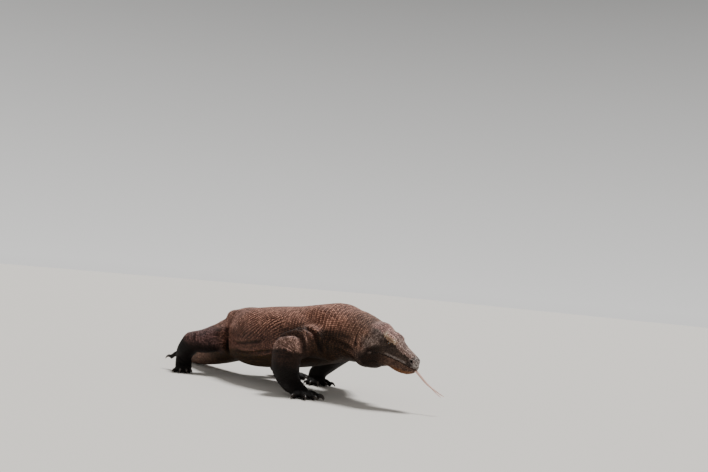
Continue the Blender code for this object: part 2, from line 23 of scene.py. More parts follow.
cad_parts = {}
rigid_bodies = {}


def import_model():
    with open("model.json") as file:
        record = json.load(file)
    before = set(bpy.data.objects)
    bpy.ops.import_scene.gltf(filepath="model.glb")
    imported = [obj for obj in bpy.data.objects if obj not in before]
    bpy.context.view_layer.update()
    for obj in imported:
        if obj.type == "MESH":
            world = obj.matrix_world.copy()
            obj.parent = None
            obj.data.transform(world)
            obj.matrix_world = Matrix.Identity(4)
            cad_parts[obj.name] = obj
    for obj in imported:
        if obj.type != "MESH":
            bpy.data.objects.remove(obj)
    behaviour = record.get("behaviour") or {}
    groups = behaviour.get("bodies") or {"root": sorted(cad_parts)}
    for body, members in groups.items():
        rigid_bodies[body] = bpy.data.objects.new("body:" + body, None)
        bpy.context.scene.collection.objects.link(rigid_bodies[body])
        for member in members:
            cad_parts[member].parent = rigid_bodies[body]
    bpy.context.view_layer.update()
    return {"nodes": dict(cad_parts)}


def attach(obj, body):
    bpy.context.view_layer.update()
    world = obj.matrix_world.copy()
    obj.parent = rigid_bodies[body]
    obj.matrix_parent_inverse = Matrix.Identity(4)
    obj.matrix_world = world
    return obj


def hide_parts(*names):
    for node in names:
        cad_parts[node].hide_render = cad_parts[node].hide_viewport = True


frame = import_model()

# ---- Driving dimensions ----
VOXEL = 0.006  # cell of the merged flesh
SMOOTHING = 3  # passes that soften the whole of it
MUSCLE_SMOOTHING = 15  # further passes away from the toes
FOOT_REACH = 0.095  # from the ball of a foot to where those passes begin
RING_SIDES = 28
RING_STEP = 0.018  # between the sections of a loft
HEAD_STEP = 0.01  # between those of the head
TRUNK_SQUARENESS = 2.15  # 2 is an ellipse
HEAD_SQUARENESS = 2.4
DOME_ANGLES = (35, 62, 80)  # of the rings that round a limb's end
SOLE_DEPTH = 0.004  # how far soles and tail would reach under the floor if they weren't flattened on it
COAT_DEPTH = 0.0016  # the skin lies this far inside the solids
FLOOR_SKIN = 0.001  # the lowest level of the skin

TAIL_LENGTH = 1.34
TAIL_ROOT = Vector((-0.64, -0.028, 0.0))
TAIL_SECTIONS = 22
TAIL_FIRST_TURN = math.radians(5)
TAIL_LAST_TURN = math.radians(76)
TAIL_LANDING = 0.36  # the share of its length after which it lies on the floor
TAIL_ROOT_CLEARANCE = 0.06
# half of it at the tip, how much more it is at the root, and the taper's power
TAIL_DEPTH = (0.004, 0.088, 1.1)
TAIL_WIDTH = (0.0035, 0.0845, 1.6)

EYE_LEVEL = Vector((0.3, -0.03, 0.2404))  # midway between the eyes
HEAD_PITCH = math.radians(-27.6)
HEAD_YAW = math.radians(12.8)
HEAD_ROLL = math.radians(5)
EYE_RADIUS = 0.0112
EYE_OFFSET = Vector((-0.002, 0.0345, -0.0065))  # of the left eye from EYE_LEVEL, in the head's own axes
MOUTH_LEVEL = -0.038

# x, y, z of the widest level, half the width, and the height above and below that level
TRUNK_SECTIONS = [
    (-0.585, -0.03, 0.18, 0.098, 0.109, 0.124),
    (-0.48, -0.04, 0.178, 0.122, 0.121, 0.126),
    (-0.33, -0.048, 0.186, 0.146, 0.129, 0.12),
    (-0.18, -0.046, 0.2, 0.144, 0.128, 0.114),
    (-0.05, -0.036, 0.226, 0.122, 0.121, 0.111),
    (0.04, -0.03, 0.24, 0.106, 0.113, 0.106),
    (0.12, -0.028, 0.236, 0.09, 0.094, 0.092),
    (0.19, -0.029, 0.223, 0.08, 0.083, 0.096),
]
# in the head's own axes: forward, top, bottom, half width, level of the widest part
HEAD_SECTIONS = [
    (-0.065, 0.038, -0.118, 0.062, -0.034),
    (-0.03, 0.029, -0.108, 0.054, -0.036),
    (0.0, 0.025, -0.096, 0.045, -0.038),
    (0.03, 0.0165, -0.091, 0.039, -0.04),
    (0.06, 0.0065, -0.087, 0.035, -0.04),
    (0.088, 0.002, -0.081, 0.032, -0.04),
    (0.109, -0.002, -0.073, 0.028, -0.04),
    (0.123, -0.012, -0.063, 0.02, -0.038),
    (0.132, -0.026, -0.048, 0.009, -0.037),
]
# Side is -1 for the animal's right. Joints go from the body outwards, with half the thickness along and
# across. Heading and the toes' turns from it are in degrees. Palm is half its width and half its thickness,
# and each toe is its turn and its length.
LEGS = {
    "right_fore": {
        "side": -1,
        "root": (0.0, -0.09, 0.205),
        "shoulder": (-0.015, -0.135, 0.205, 0.068, 0.066),
        "upper": (-0.042, -0.192, 0.192, 0.059, 0.058),
        "joint": (-0.061, -0.231, 0.166, 0.057, 0.057),
        "lower": (-0.053, -0.236, 0.09, 0.054, 0.052),
        "end": (-0.028, -0.228, 0.044, 0.039, 0.036),
        "ball": (0.034, -0.224, 0.015),
        "heading": 0,
        "palm": (0.043, 0.019),
        "toes": ((36, 0.042), (14, 0.06), (-6, 0.068), (-28, 0.062), (-62, 0.046)),
        "hind": False,
    },
    "left_fore": {
        "side": 1,
        "root": (-0.02, 0.03, 0.21),
        "shoulder": (-0.05, 0.078, 0.208, 0.066, 0.064),
        "upper": (-0.118, 0.142, 0.196, 0.057, 0.056),
        "joint": (-0.184, 0.186, 0.166, 0.053, 0.053),
        "lower": (-0.26, 0.178, 0.106, 0.043, 0.041),
        "end": (-0.324, 0.156, 0.044, 0.034, 0.033),
        "ball": (-0.308, 0.146, 0.015),
        "heading": -46,
        "palm": (0.041, 0.019),
        "toes": ((-34, 0.034), (-12, 0.048), (8, 0.056), (30, 0.054), (62, 0.042)),
        "hind": False,
    },
    "right_hind": {
        "side": -1,
        "root": (-0.615, -0.075, 0.18),
        "shoulder": (-0.632, -0.112, 0.166, 0.062, 0.062),
        "upper": (-0.664, -0.168, 0.138, 0.054, 0.054),
        "joint": (-0.702, -0.218, 0.128, 0.044, 0.044),
        "lower": (-0.73, -0.226, 0.094, 0.041, 0.042),
        "end": (-0.752, -0.224, 0.064, 0.034, 0.034),
        "ball": (-0.714, -0.244, 0.015),
        "heading": -36,
        "palm": (0.036, 0.02),
        "toes": ((26, 0.042), (10, 0.056), (-6, 0.064), (-22, 0.062), (-120, 0.05)),
        "hind": True,
    },
    "left_hind": {
        "side": 1,
        "root": (-0.6, 0.02, 0.185),
        "shoulder": (-0.59, 0.068, 0.184, 0.062, 0.062),
        "upper": (-0.558, 0.144, 0.178, 0.054, 0.054),
        "joint": (-0.53, 0.2, 0.164, 0.044, 0.044),
        "lower": (-0.568, 0.184, 0.104, 0.04, 0.041),
        "end": (-0.6, 0.162, 0.046, 0.033, 0.033),
        "ball": (-0.52, 0.164, 0.015),
        "heading": 6,
        "palm": (0.038, 0.02),
        "toes": ((-30, 0.044), (-12, 0.064), (7, 0.078), (29, 0.084), (78, 0.052)),
        "hind": True,
    },
}
JOINTS = ("shoulder", "upper", "joint", "lower", "end")
TOE_RADIUS = 0.013
TOE_TAPER = ((1.1, 1.05), (1, 1), (0.82, 0.86))  # of the radius at root, middle and tip: across and upwards
TOE_SPREAD = 0.62  # how far along the palm's edge the toes stand, as a share of its half width
TOE_START = 0.25  # how far before the ball they start, as the same share
RAISED_TOE = 0.055  # a toe that starts higher than this hangs clear of the floor
CLAW_LENGTH = 0.034

# centre and reach each way, for the left side in the head's own axes
HEAD_MUSCLES = [
    ((-0.052, 0.038, -0.03), (0.05, 0.031, 0.046)),  # jaw muscle
    ((0.0, 0.028, -0.026), (0.05, 0.02, 0.026)),  # cheek
    ((-0.004, 0.023, 0.017), (0.028, 0.0095, 0.0085)),  # brow ridge
    ((0.106, 0.015, -0.014), (0.019, 0.012, 0.014)),  # swelling of the nostril
]
THROAT_MUSCLE = ((-0.066, 0.0, -0.113), (0.06, 0.044, 0.037))
# centre of both, distance of each from it, and reach each way
BODY_MUSCLES = [
    ((-0.04, -0.033, 0.285), 0.062, (0.085, 0.048, 0.052)),  # shoulder blade
    ((0.03, -0.03, 0.195), 0.06, (0.075, 0.05, 0.064)),  # breast
    ((-0.59, -0.03, 0.246), 0.052, (0.062, 0.036, 0.034)),  # hip bone
    ((-0.628, -0.03, 0.172), 0.066, (0.08, 0.05, 0.064)),  # root of the thigh
]

CHANCE = np.random.default_rng(7)


# ---- The animal's frame ----
def head_axes():
    """The head's forward, left and up directions."""
    reach, drop = math.cos(HEAD_PITCH), math.sin(HEAD_PITCH)
    forward = Vector((reach * math.cos(HEAD_YAW), reach * math.sin(HEAD_YAW), drop))
    level = Vector((-math.sin(HEAD_YAW), math.cos(HEAD_YAW), 0))
    left = level * math.cos(HEAD_ROLL) + forward.cross(level) * math.sin(HEAD_ROLL)
    return forward, left, forward.cross(left)


HEAD_TURN = Matrix(head_axes()).transposed()


def at_head(forward, left, up):
    """A point given in the head's own axes from EYE_LEVEL."""
    return EYE_LEVEL + HEAD_TURN @ Vector((forward, left, up))


def middle_of_node(name):
    """The middle of a solid's corners."""
    corners = [v.co for v in frame["nodes"][name].data.vertices]
    return sum(corners, Vector()) / len(corners)


# The eyes give where the solids stand.
HOME = (middle_of_node("eye_left") + middle_of_node("eye_right")) / 2 - at_head(EYE_OFFSET.x, 0, EYE_OFFSET.z)


# ---- Lofts ----
def smooth_rows(rows, step):
    """Rows of numbers that start with a point, read from a Catmull-Rom curve at about that spacing."""
    rows = np.array(rows, float)
    padded = np.vstack([2 * rows[0] - rows[1], rows, 2 * rows[-1] - rows[-2]])
    knots = np.sqrt(np.linalg.norm(np.diff(padded[:, :3], axis=0), axis=1))
    knots = np.concatenate([[0], np.cumsum(knots)])
    found = []
    for i in range(1, len(rows)):
        count = max(1, round(np.linalg.norm(rows[i, :3] - rows[i - 1, :3]) / step))
        for t in np.linspace(knots[i], knots[i + 1], count, endpoint=False):
            found.append(curve_row(padded[i - 1 : i + 3], knots[i - 1 : i + 3], t))
    return np.array([*found, rows[-1]])


def curve_row(p, k, t):
    """Barry and Goldman's form of the Catmull-Rom curve through rows p at knots k."""
    a = [((k[i + 1] - t) * p[i] + (t - k[i]) * p[i + 1]) / (k[i + 1] - k[i]) for i in range(3)]
    b = [((k[i + 2] - t) * a[i] + (t - k[i]) * a[i + 1]) / (k[i + 2] - k[i]) for i in range(2)]
    return ((k[2] - t) * b[0] + (t - k[1]) * b[1]) / (k[2] - k[1])


def section_frames(centres, across):
    """For each centre, the directions across and over the loft. Its course is at right angles to both."""
    course = np.gradient(centres, axis=0)
    course /= np.linalg.norm(course, axis=1)[:, None]
    side = across - course * (course @ across)[:, None] if across.ndim == 1 else across
    side = side / np.linalg.norm(side, axis=1)[:, None]
    return side, np.cross(course, side)


def oval(centre, side, over, half_width, above, below, squareness=2.0, sides=RING_SIDES):
    """The corners of one section, a superellipse whose upper and lower halves differ."""
    points = []
    for i in range(sides):
        angle = 2 * math.pi * i / sides
        c, s = math.cos(angle), math.sin(angle)
        x = math.copysign(abs(c) ** (2 / squareness), c) * half_width
        y = math.copysign(abs(s) ** (2 / squareness), s) * (above if s > 0 else below)
        points.append(Vector(centre + side * x + over * y))
    return points


def new_loft(rings, name="loft"):
    """A closed object through rings of corners."""
    mesh = bmesh.new()
    first = [mesh.verts.new(p) for p in rings[0]]
    cap = mesh.faces.new(first)
    for ring in rings[1:]:
        cap = bmesh.ops.extrude_discrete_faces(mesh, faces=[cap])["faces"][0]
        for vert, place in zip(cap.verts, ring):
            vert.co = place
    bmesh.ops.holes_fill(mesh, edges=[e for e in mesh.edges if e.is_boundary])
    bmesh.ops.recalc_face_normals(mesh, faces=mesh.faces)
    return new_object(name, mesh)


def new_object(name, mesh):
    """A named object from a mesh that was being built."""
    data = bpy.data.meshes.new(name)
    mesh.to_mesh(data)
    mesh.free()
    obj = bpy.data.objects.new(name, data)
    bpy.context.scene.collection.objects.link(obj)
    return obj


def ellipsoid(centre, radii, turn=None):
    """A muscle or bone under the skin."""
    mesh = bmesh.new()
    place = Matrix.Translation(centre) @ (turn or Matrix.Identity(4)) @ Matrix.Diagonal((*radii, 1))
    bmesh.ops.create_uvsphere(mesh, u_segments=20, v_segments=12, radius=1, matrix=place)
    return new_object("muscle", mesh)


def dome(inner, ring, row):
    """Three smaller sections past a limb's end, which round it."""
    centre = Vector(row[:3])
    back = sum(inner, Vector()) / len(inner)
    outward = (centre - back).normalized() * (row[3] + row[4]) / 2
    found = []
    for angle in (math.radians(degrees) for degrees in DOME_ANGLES):
        middle = centre + outward * math.sin(angle)
        found.append([middle + (p - centre) * math.cos(angle) for p in ring])
    return found


def limb(rows, across, sides=RING_SIDES, step=RING_STEP):
    """A length of limb with round ends. Rows are x, y, z, half width along across, half depth."""
    rows = smooth_rows(rows, step)
    side, over = section_frames(rows[:, :3], np.array(across, float))
    rings = [oval(r[:3], s, o, r[3], r[4], r[4], sides=sides) for r, s, o in zip(rows, side, over)]
    return new_loft([*dome(rings[1], rings[0], rows[0])[::-1], *rings, *dome(rings[-2], rings[-1], rows[-1])])


def baked(obj):
    """The object with its modifiers applied."""
    graph = bpy.context.evaluated_depsgraph_get()
    mesh = bpy.data.meshes.new_from_object(obj.evaluated_get(graph))
    obj.modifiers.clear()
    obj.data = mesh
    return obj


def fused(obj, voxel, passes):
    """The object's overlapping bodies as one surface with faces of that size, softened by so many passes."""
    remesh = obj.modifiers.new("merge", "REMESH")
    remesh.mode = "VOXEL"
    remesh.voxel_size = voxel
    obj.modifiers.new("soften", "SMOOTH").iterations = passes
    return baked(obj)


def joined(name, objects):
    """One object that holds the meshes of several, which are removed."""
    mesh = bmesh.new()
    for obj in objects:
        mesh.from_mesh(obj.data)
        bpy.data.objects.remove(obj)
    return new_object(name, mesh)


# ---- Flesh ----
def tapered(share, tip, more, power):
    """A size of the tail at a share of its length from the root."""
    return tip + more * (1 - share) ** power


def tail_rows():
    """Sections of the tail: it drops from the hips to the floor and curves to the left behind them."""
    rows = []
    place = TAIL_ROOT.copy()
    for i in range(TAIL_SECTIONS + 1):
        share = i / TAIL_SECTIONS
        half_depth = tapered(share, *TAIL_DEPTH)
        half_width = tapered(share, *TAIL_WIDTH)
        landing = min(1, share / TAIL_LANDING)
        clearance = TAIL_ROOT_CLEARANCE * (1 - landing) ** 2 - min(SOLE_DEPTH, 0.35 * half_depth)
        rows.append((place.x, place.y, clearance + half_depth, half_width, half_depth, half_depth))
        turn = TAIL_FIRST_TURN + (TAIL_LAST_TURN - TAIL_FIRST_TURN) * share**1.3
        place += Vector((-math.cos(turn), math.sin(turn), 0)) * TAIL_LENGTH / TAIL_SECTIONS
    return rows[::-1]


def body_stations():
    """From the tip of the tail to the snout: centre, side, over, half width, above, below, squareness."""
    rows = smooth_rows([*tail_rows()[:-1], *TRUNK_SECTIONS], RING_STEP)
    side = np.cross((0, 0, 1), np.gradient(rows[:, :3], axis=0))
    side, over = section_frames(rows[:, :3], side)
    found = [(r[:3], s, o, *r[3:6], TRUNK_SQUARENESS) for r, s, o in zip(rows, side, over)]
    _, left, up = head_axes()
    heads = smooth_rows([(ahead, 0, 0, *sizes) for ahead, *sizes in HEAD_SECTIONS], HEAD_STEP)
    for ahead, _, _, top, low, half, level in heads:
        centre = np.array(at_head(ahead, 0, level))
        found.append((centre, np.array(left), np.array(up), half, top - level, level - low, HEAD_SQUARENESS))
    return found


def muscles():
    """Jaw muscles, cheeks, brow ridges and throat; shoulder blades, hip bones and the roots of the thighs."""
    turn = HEAD_TURN.to_4x4()
    for side in (-1, 1):
        for (ahead, left, up), radii in HEAD_MUSCLES:
            ellipsoid(at_head(ahead, side * left, up), radii, turn)
        for (x, y, z), away, radii in BODY_MUSCLES:
            ellipsoid((x, side * away + y, z), radii)
    ellipsoid(at_head(*THROAT_MUSCLE[0]), THROAT_MUSCLE[1], turn)


def in_plan(degrees):
    """A level direction, turned that far from forward to the left."""
    return Vector((math.cos(math.radians(degrees)), math.sin(math.radians(degrees)), 0))


def toe_courses(leg):
    """For each toe, its points from root to tip, its direction in plan and its number, 1 being the inner."""
    ball = Vector(leg["ball"])
    palm_half = leg["palm"][0]
    found = []
    for number, (turn, length) in enumerate(leg["toes"], start=1):
        direction = in_plan(leg["heading"] + turn)
        across = in_plan(leg["heading"] + 90)
        spread = direction.dot(across) * palm_half * TOE_SPREAD
        root = ball + across * spread + in_plan(leg["heading"]) * palm_half * TOE_START
        if leg["hind"] and number == 5:
            root = Vector(leg["end"][:3]) + direction * 0.012
            root.z = max(root.z, 0.016)
        low = TOE_RADIUS - SOLE_DEPTH
        drop = root.z > RAISED_TOE
        middle = root + direction * length * 0.5
        middle.z = root.z + 0.004 if drop else low + 0.009
        tip = root + direction * length
        tip.z = root.z - 0.014 if drop else low
        found.append((number, [root, middle, tip], direction))
    return found


def make_leg(leg):
    """Upper and lower limb, the palm or sole, and five toes, as overlapping lofts."""
    root, joint, end = leg["root"], leg["joint"], leg["end"]
    limb([(*root, leg["shoulder"][3], leg["shoulder"][4]), leg["shoulder"], leg["upper"], joint], (1, 0, 0.3))
    limb([joint, leg["lower"], end], (1, 0.2, 0))
    ball = Vector(leg["ball"])
    half, thick = leg["palm"]
    ankle = Vector(end[:3])
    front = ball + in_plan(leg["heading"]) * half * 0.35
    palm = [
        (*ankle, end[3] * 0.95, end[4] * 0.9),
        (*ankle.lerp(ball, 0.5), (end[3] + half) / 2, (end[4] + thick) / 2),
        (*ball, half, thick),
        (*front, half * 0.9, thick * 0.8),
    ]
    limb(palm, in_plan(leg["heading"] + 90))
    for _, points, direction in toe_courses(leg):
        rows = [(*at, TOE_RADIUS * wide, TOE_RADIUS * high) for at, (wide, high) in zip(points, TOE_TAPER)]
        limb(rows, direction.cross(Vector((0, 0, 1))), sides=14, step=0.012)


def merged_flesh():
    """All the flesh as one closed surface of small faces."""
    before = set(bpy.data.objects)
    new_loft([oval(*station) for station in body_stations()])
    muscles()
    for leg in LEGS.values():
        make_leg(leg)
    body = fused(joined("skin", [o for o in bpy.data.objects if o not in before]), VOXEL, SMOOTHING)
    balls = [Vector(leg["ball"]) for leg in LEGS.values()]
    thick = body.vertex_groups.new(name="thick")
    far = [v.index for v in body.data.vertices if min((v.co - ball).length for ball in balls) > FOOT_REACH]
    thick.add(far, 1.0, "REPLACE")
    smooth = body.modifiers.new("soften", "SMOOTH")
    smooth.iterations = MUSCLE_SMOOTHING
    smooth.vertex_group = "thick"
    baked(body)
    body.vertex_groups.clear()
    return body


# ---- Camera, light and floor ----
VIEW_TURN = math.radians(47)  # of the camera's line of sight, from the animal's left
VIEW_SLOPE = math.atan(0.125)  # the shore falls away to the animal's left, and the floor here is level
VIEW_DROP = math.atan(0.038)
VIEW_PLACE = Vector((0.052, -3.827, 0.7276))  # of the camera, in axes turned with its line of sight
VIEW_LIFT = Vector((0, 0, 0.032))  # of the camera over its place on the shore
FOCAL_LENGTH = 50.8475  # in millimetres, as is the sensor's width
SENSOR_WIDTH = 36
SKY_COLOUR = "#f1f0ee"
SKY_STRENGTH = 0.3
HORIZON_STRENGTH = 1.1
SKY_FALL = 3.0  # how fast the sky darkens over the horizon
LAMP_FROM = Vector((-0.55, 1.25, 2.75))  # behind the animal's far side
LAMP_STRENGTH = 3.6
LAMP_SOFTNESS = math.radians(16)
FLOOR_COLOUR = "#ece7df"
FLOOR_REACH = 30


def make_camera():
    """The camera stands over the sloping shore beside the animal's right hand and looks a little down."""
    turn = Matrix.Rotation(VIEW_SLOPE, 3, "X") @ Matrix.Rotation(VIEW_TURN, 3, "Z")
    right, level, up = turn.transposed()
    place = turn @ VIEW_PLACE + VIEW_LIFT + HOME
    ahead = level * math.cos(VIEW_DROP) - up * math.sin(VIEW_DROP)
    picture_up = up * math.cos(VIEW_DROP) + level * math.sin(VIEW_DROP)
    data = bpy.data.cameras.new("camera")
    data.sensor_width = SENSOR_WIDTH
    data.lens = FOCAL_LENGTH
    camera = bpy.data.objects.new("camera", data)
    axes = Matrix((right, picture_up, -ahead)).transposed()
    camera.matrix_world = Matrix.Translation(place) @ axes.to_4x4()
    bpy.context.scene.collection.objects.link(camera)
    bpy.context.scene.camera = camera


def make_light():
    """A pale sky that brightens to the horizon, with one high lamp whose shadows are soft."""
    world = bpy.data.worlds.new("sky")
    world.use_nodes = True
    tree = world.node_tree
    look = add_node(tree, "TexCoord", output="Generated")
    height = add_node(tree, "SeparateXYZ", [look], "Z")
    height = add_node(tree, "Math", [height], operation="ABSOLUTE")
    fall = add_node(tree, "Math", [height, SKY_FALL], operation="MULTIPLY")
    low = add_node(tree, "Math", [1.0, fall], operation="SUBTRACT")
    low = add_node(tree, "Math", [low, 0.0], operation="MAXIMUM")
    strength = [low, HORIZON_STRENGTH - SKY_STRENGTH, SKY_STRENGTH]
    strength = add_node(tree, "Math", strength, operation="MULTIPLY_ADD")
    feed(tree, tree.nodes["Background"], {"Color": SKY_COLOUR, "Strength": strength})
    bpy.context.scene.world = world
    data = bpy.data.lights.new("high_lamp", "SUN")
    data.energy = LAMP_STRENGTH
    data.angle = LAMP_SOFTNESS
    lamp = bpy.data.objects.new("high_lamp", data)
    lamp.matrix_world = Matrix.Translation(LAMP_FROM) @ LAMP_FROM.to_track_quat("Z", "Y").to_matrix().to_4x4()
    bpy.context.scene.collection.objects.link(lamp)


def make_floor():
    """A plain pale floor under the animal."""
    mesh = bmesh.new()
    bmesh.ops.create_grid(mesh, x_segments=1, y_segments=1, size=FLOOR_REACH)
    floor = new_object("floor", mesh)
    paper, tree, shader = new_material("pale studio floor")
    feed(tree, shader, {"Base Color": FLOOR_COLOUR, "Roughness": 0.9})
    floor.data.materials.append(paper)


# ---- Materials ----
def linear(code):
    """The linear red, green and blue of an sRGB hex colour."""
    parts = [int(code[i : i + 2], 16) / 255 for i in (1, 3, 5)]
    return tuple(c / 12.92 if c <= 0.04045 else ((c + 0.055) / 1.055) ** 2.4 for c in parts)


def new_material(name):
    """A new material with its nodes and its shader."""
    made = bpy.data.materials.new(name)
    made.use_nodes = True
    return made, made.node_tree, made.node_tree.nodes["Principled BSDF"]


def feed(tree, node, inputs):
    """Gives inputs of a node, by name or in order, another node's output, a number or a hex colour."""
    for place, value in inputs.items() if isinstance(inputs, dict) else enumerate(inputs):
        if isinstance(value, bpy.types.NodeSocket):
            tree.links.new(value, node.inputs[place])
        elif isinstance(value, str):
            node.inputs[place].default_value = (*linear(value), 1)
        else:
            node.inputs[place].default_value = value


def add_node(tree, kind, inputs=(), output=0, **settings):
    """Adds a node with its settings and inputs, and gives back one of its outputs."""
    node = tree.nodes.new("ShaderNode" + kind)
    for name, value in settings.items():
        setattr(node, name, value)
    feed(tree, node, inputs)
    return node.outputs[output]


# ---- Sculpting tools ----
def corners_of(data):
    """The places of a mesh's corners as rows of numbers."""
    found = np.empty(len(data.vertices) * 3)
    data.vertices.foreach_get("co", found)
    return found.reshape(-1, 3)


def normals_of(data):
    """The normals at a mesh's corners as rows of numbers."""
    found = np.empty(len(data.vertices) * 3)
    data.vertex_normals.foreach_get("vector", found)
    return found.reshape(-1, 3)


def move_corners(obj, places):
    """Puts the object's corners at new places."""
    obj.data.vertices.foreach_set("co", places.ravel())
    obj.data.update()


def split_faces(mesh, chosen):
    """Cuts the chosen faces into smaller ones."""
    edges = {e for f, pick in zip(mesh.faces, chosen) if pick for e in f.edges}
    bmesh.ops.subdivide_edges(mesh, edges=list(edges), cuts=1, use_grid_fill=True)
    bmesh.ops.triangulate(mesh, faces=[f for f in mesh.faces if len(f.verts) > 4])


def surface_of(obj):
    """The object's surface as a tree for casting rays."""
    mesh = bmesh.new()
    mesh.from_mesh(obj.data)
    found = BVHTree.FromBMesh(mesh)
    mesh.free()
    return found


def tree_of(places):
    """A search tree of places, each known by its number in the list."""
    tree = KDTree(len(places))
    for number, place in enumerate(places):
        tree.insert(place, number)
    tree.balance()
    return tree


def in_head(points):
    """Points in the head's own axes from EYE_LEVEL."""
    return (points - np.array(EYE_LEVEL)) @ np.array(HEAD_TURN)


def on_left(h):
    """Places on the head with those of its right side carried over to the left."""
    return np.column_stack([h[:, 0], np.abs(h[:, 1]), h[:, 2]])


def trunk_middle(x):
    """How far to the left the middle of the trunk lies at each place along it."""
    return np.interp(x, *np.array(TRUNK_SECTIONS)[:, :2].T)


FAR_OFF = 9.0


def ramp(values, low, high):
    """0 below low, 1 above high, and a smooth step between them. high may be the smaller."""
    t = np.clip((values - low) / (high - low), 0, 1)
    return t * t * (3 - 2 * t)


def between(values, low, risen, falling, high):
    """1 from risen to falling, 0 outside low and high, and smooth steps between them."""
    return ramp(values, low, risen) * ramp(values, high, falling)


def bell(values, middle, width):
    """1 at the middle, falling off smoothly on both sides."""
    return np.exp(-(((values - middle) / width) ** 2))


def from_pit(h, pit, half_length, half_height):
    """How far each place lies from a pit in the head's side view, as a share of the way to its outline."""
    return np.hypot((h[:, 0] - pit[0]) / half_length, (h[:, 2] - pit[2]) / half_height)


def course_gap(points, course):
    """Each point's distance from a course of straight runs, and the share of it at the nearest spot."""
    lengths = np.linalg.norm(np.diff(course, axis=0), axis=1)
    best = np.full(len(points), FAR_OFF)
    share = np.zeros(len(points))
    done = 0.0
    for start, stop, length in zip(course, course[1:], lengths):
        step = stop - start
        t = np.clip((points - start) @ step / length**2, 0, 1)
        gap = np.linalg.norm(points - start - t[:, None] * step, axis=1)
        closer = gap < best
        best[closer] = gap[closer]
        share[closer] = (done + t[closer] * length) / lengths.sum()
        done += length
    return best, share


def fold_lift(points, course, width, height):
    """The lift of a ridge along a course, or of a crease between two rolls where height is negative."""
    course = smooth_rows(course, 0.012)
    reach = width * 4
    near = np.all((points > course.min(0) - reach) & (points < course.max(0) + reach), axis=1)
    lift = np.zeros(len(points))
    gap, share = course_gap(points[near], course)
    profile = bell(gap, 0, width) - 0.4 * bell(gap, 2.1 * width, 1.1 * width)
    lift[near] = height * profile * between(share, 0, 0.25, 0.75, 1)
    return lift


def spot_lift(points, centre, radii, height):
    """The lift of a round swelling, or of a hollow where height is negative."""
    return height * np.exp(-((((points - np.array(centre)) / np.array(radii)) ** 2).sum(1)))


# ---- Head ----
# in the head's own axes, forward and up: where the lips meet, and the upper edge of the dark side of the face
MOUTH_LINE = [
    (-0.036, -0.065), (-0.016, -0.0585), (0.01, -0.0515), (0.04, -0.045),
    (0.07, -0.0392), (0.095, -0.0362), (0.118, -0.0352), (0.14, -0.0368),
]
MASK_EDGE = [
    (-0.14, -0.03), (-0.1, -0.006), (-0.08, 0.007), (-0.06, 0.014), (-0.05, 0.0145),
    (-0.034, 0.011), (-0.024, 0.0035), (-0.006, 0.001), (0.022, 0.0), (0.04, -0.0075),
    (0.055, -0.0115), (0.085, -0.01), (0.105, -0.009), (0.125, -0.022),
]
NOSTRIL = (0.106, 0.022, -0.015)
EAR = (-0.078, 0.056, -0.028)
# the place under the nostril is painted dark as shade
MUZZLE_SHADE = (0.104, 0.02, -0.029)  # the dark place under the nostril
HEAD_FROM = -0.115  # along the head's axis: skin from here on has finer faces
THROAT_LEVEL = -0.19  # and nothing under this level counts as head
HEAD_BLEND = (-0.2, -0.12)  # along the head's axis: where its folds and swellings begin
HEAD_SMOOTHING = 4
FINE_AREAS = ((EYE_OFFSET, 0.024), (NOSTRIL, 0.013), (EAR, 0.014))  # centre, reach
FINE_LIPS = 0.006  # each way from the mouth line
# over the mouth line, width, height
LIPS = [(0.0046, 0.0034, 0.0013), (0.0, 0.0011, -0.0022), (-0.004, 0.003, 0.0006)]
PIT_RIM = 0.001  # how high the rim of a pit stands
PITS = [  # centre, half its length and height, depth, and how far from the middle of the head it begins
    (NOSTRIL, 0.0056, 0.0038, 0.006, 0.012),
    (EAR, 0.0034, 0.0068, 0.005, 0.03),
]
EYE_SINK = 0.0044  # how much deeper the eyeballs sit than the solids for them
LID_SEGMENTS = 56
LID_REACH = (0.0165, 0.014)  # from the eye's axis to the lids' outline, along the head and up it
SOCKET_DEPTH = 0.01
SOCKET_EDGE = (0.86, 0.7)  # the socket falls away between these shares of the lids' outline
GAZE = (0.3, 0.1)  # how far forward and up the eyes look for each metre sideways
LID_OPENING = (0.0086, 0.0052, 0.0046)  # half its length, and its height above and below the middle
LID_POINT = 1.15  # how pointed the corners of the opening are
LID_PUFF = (0.003, 0.0018)  # how far the upper and the lower lid swell
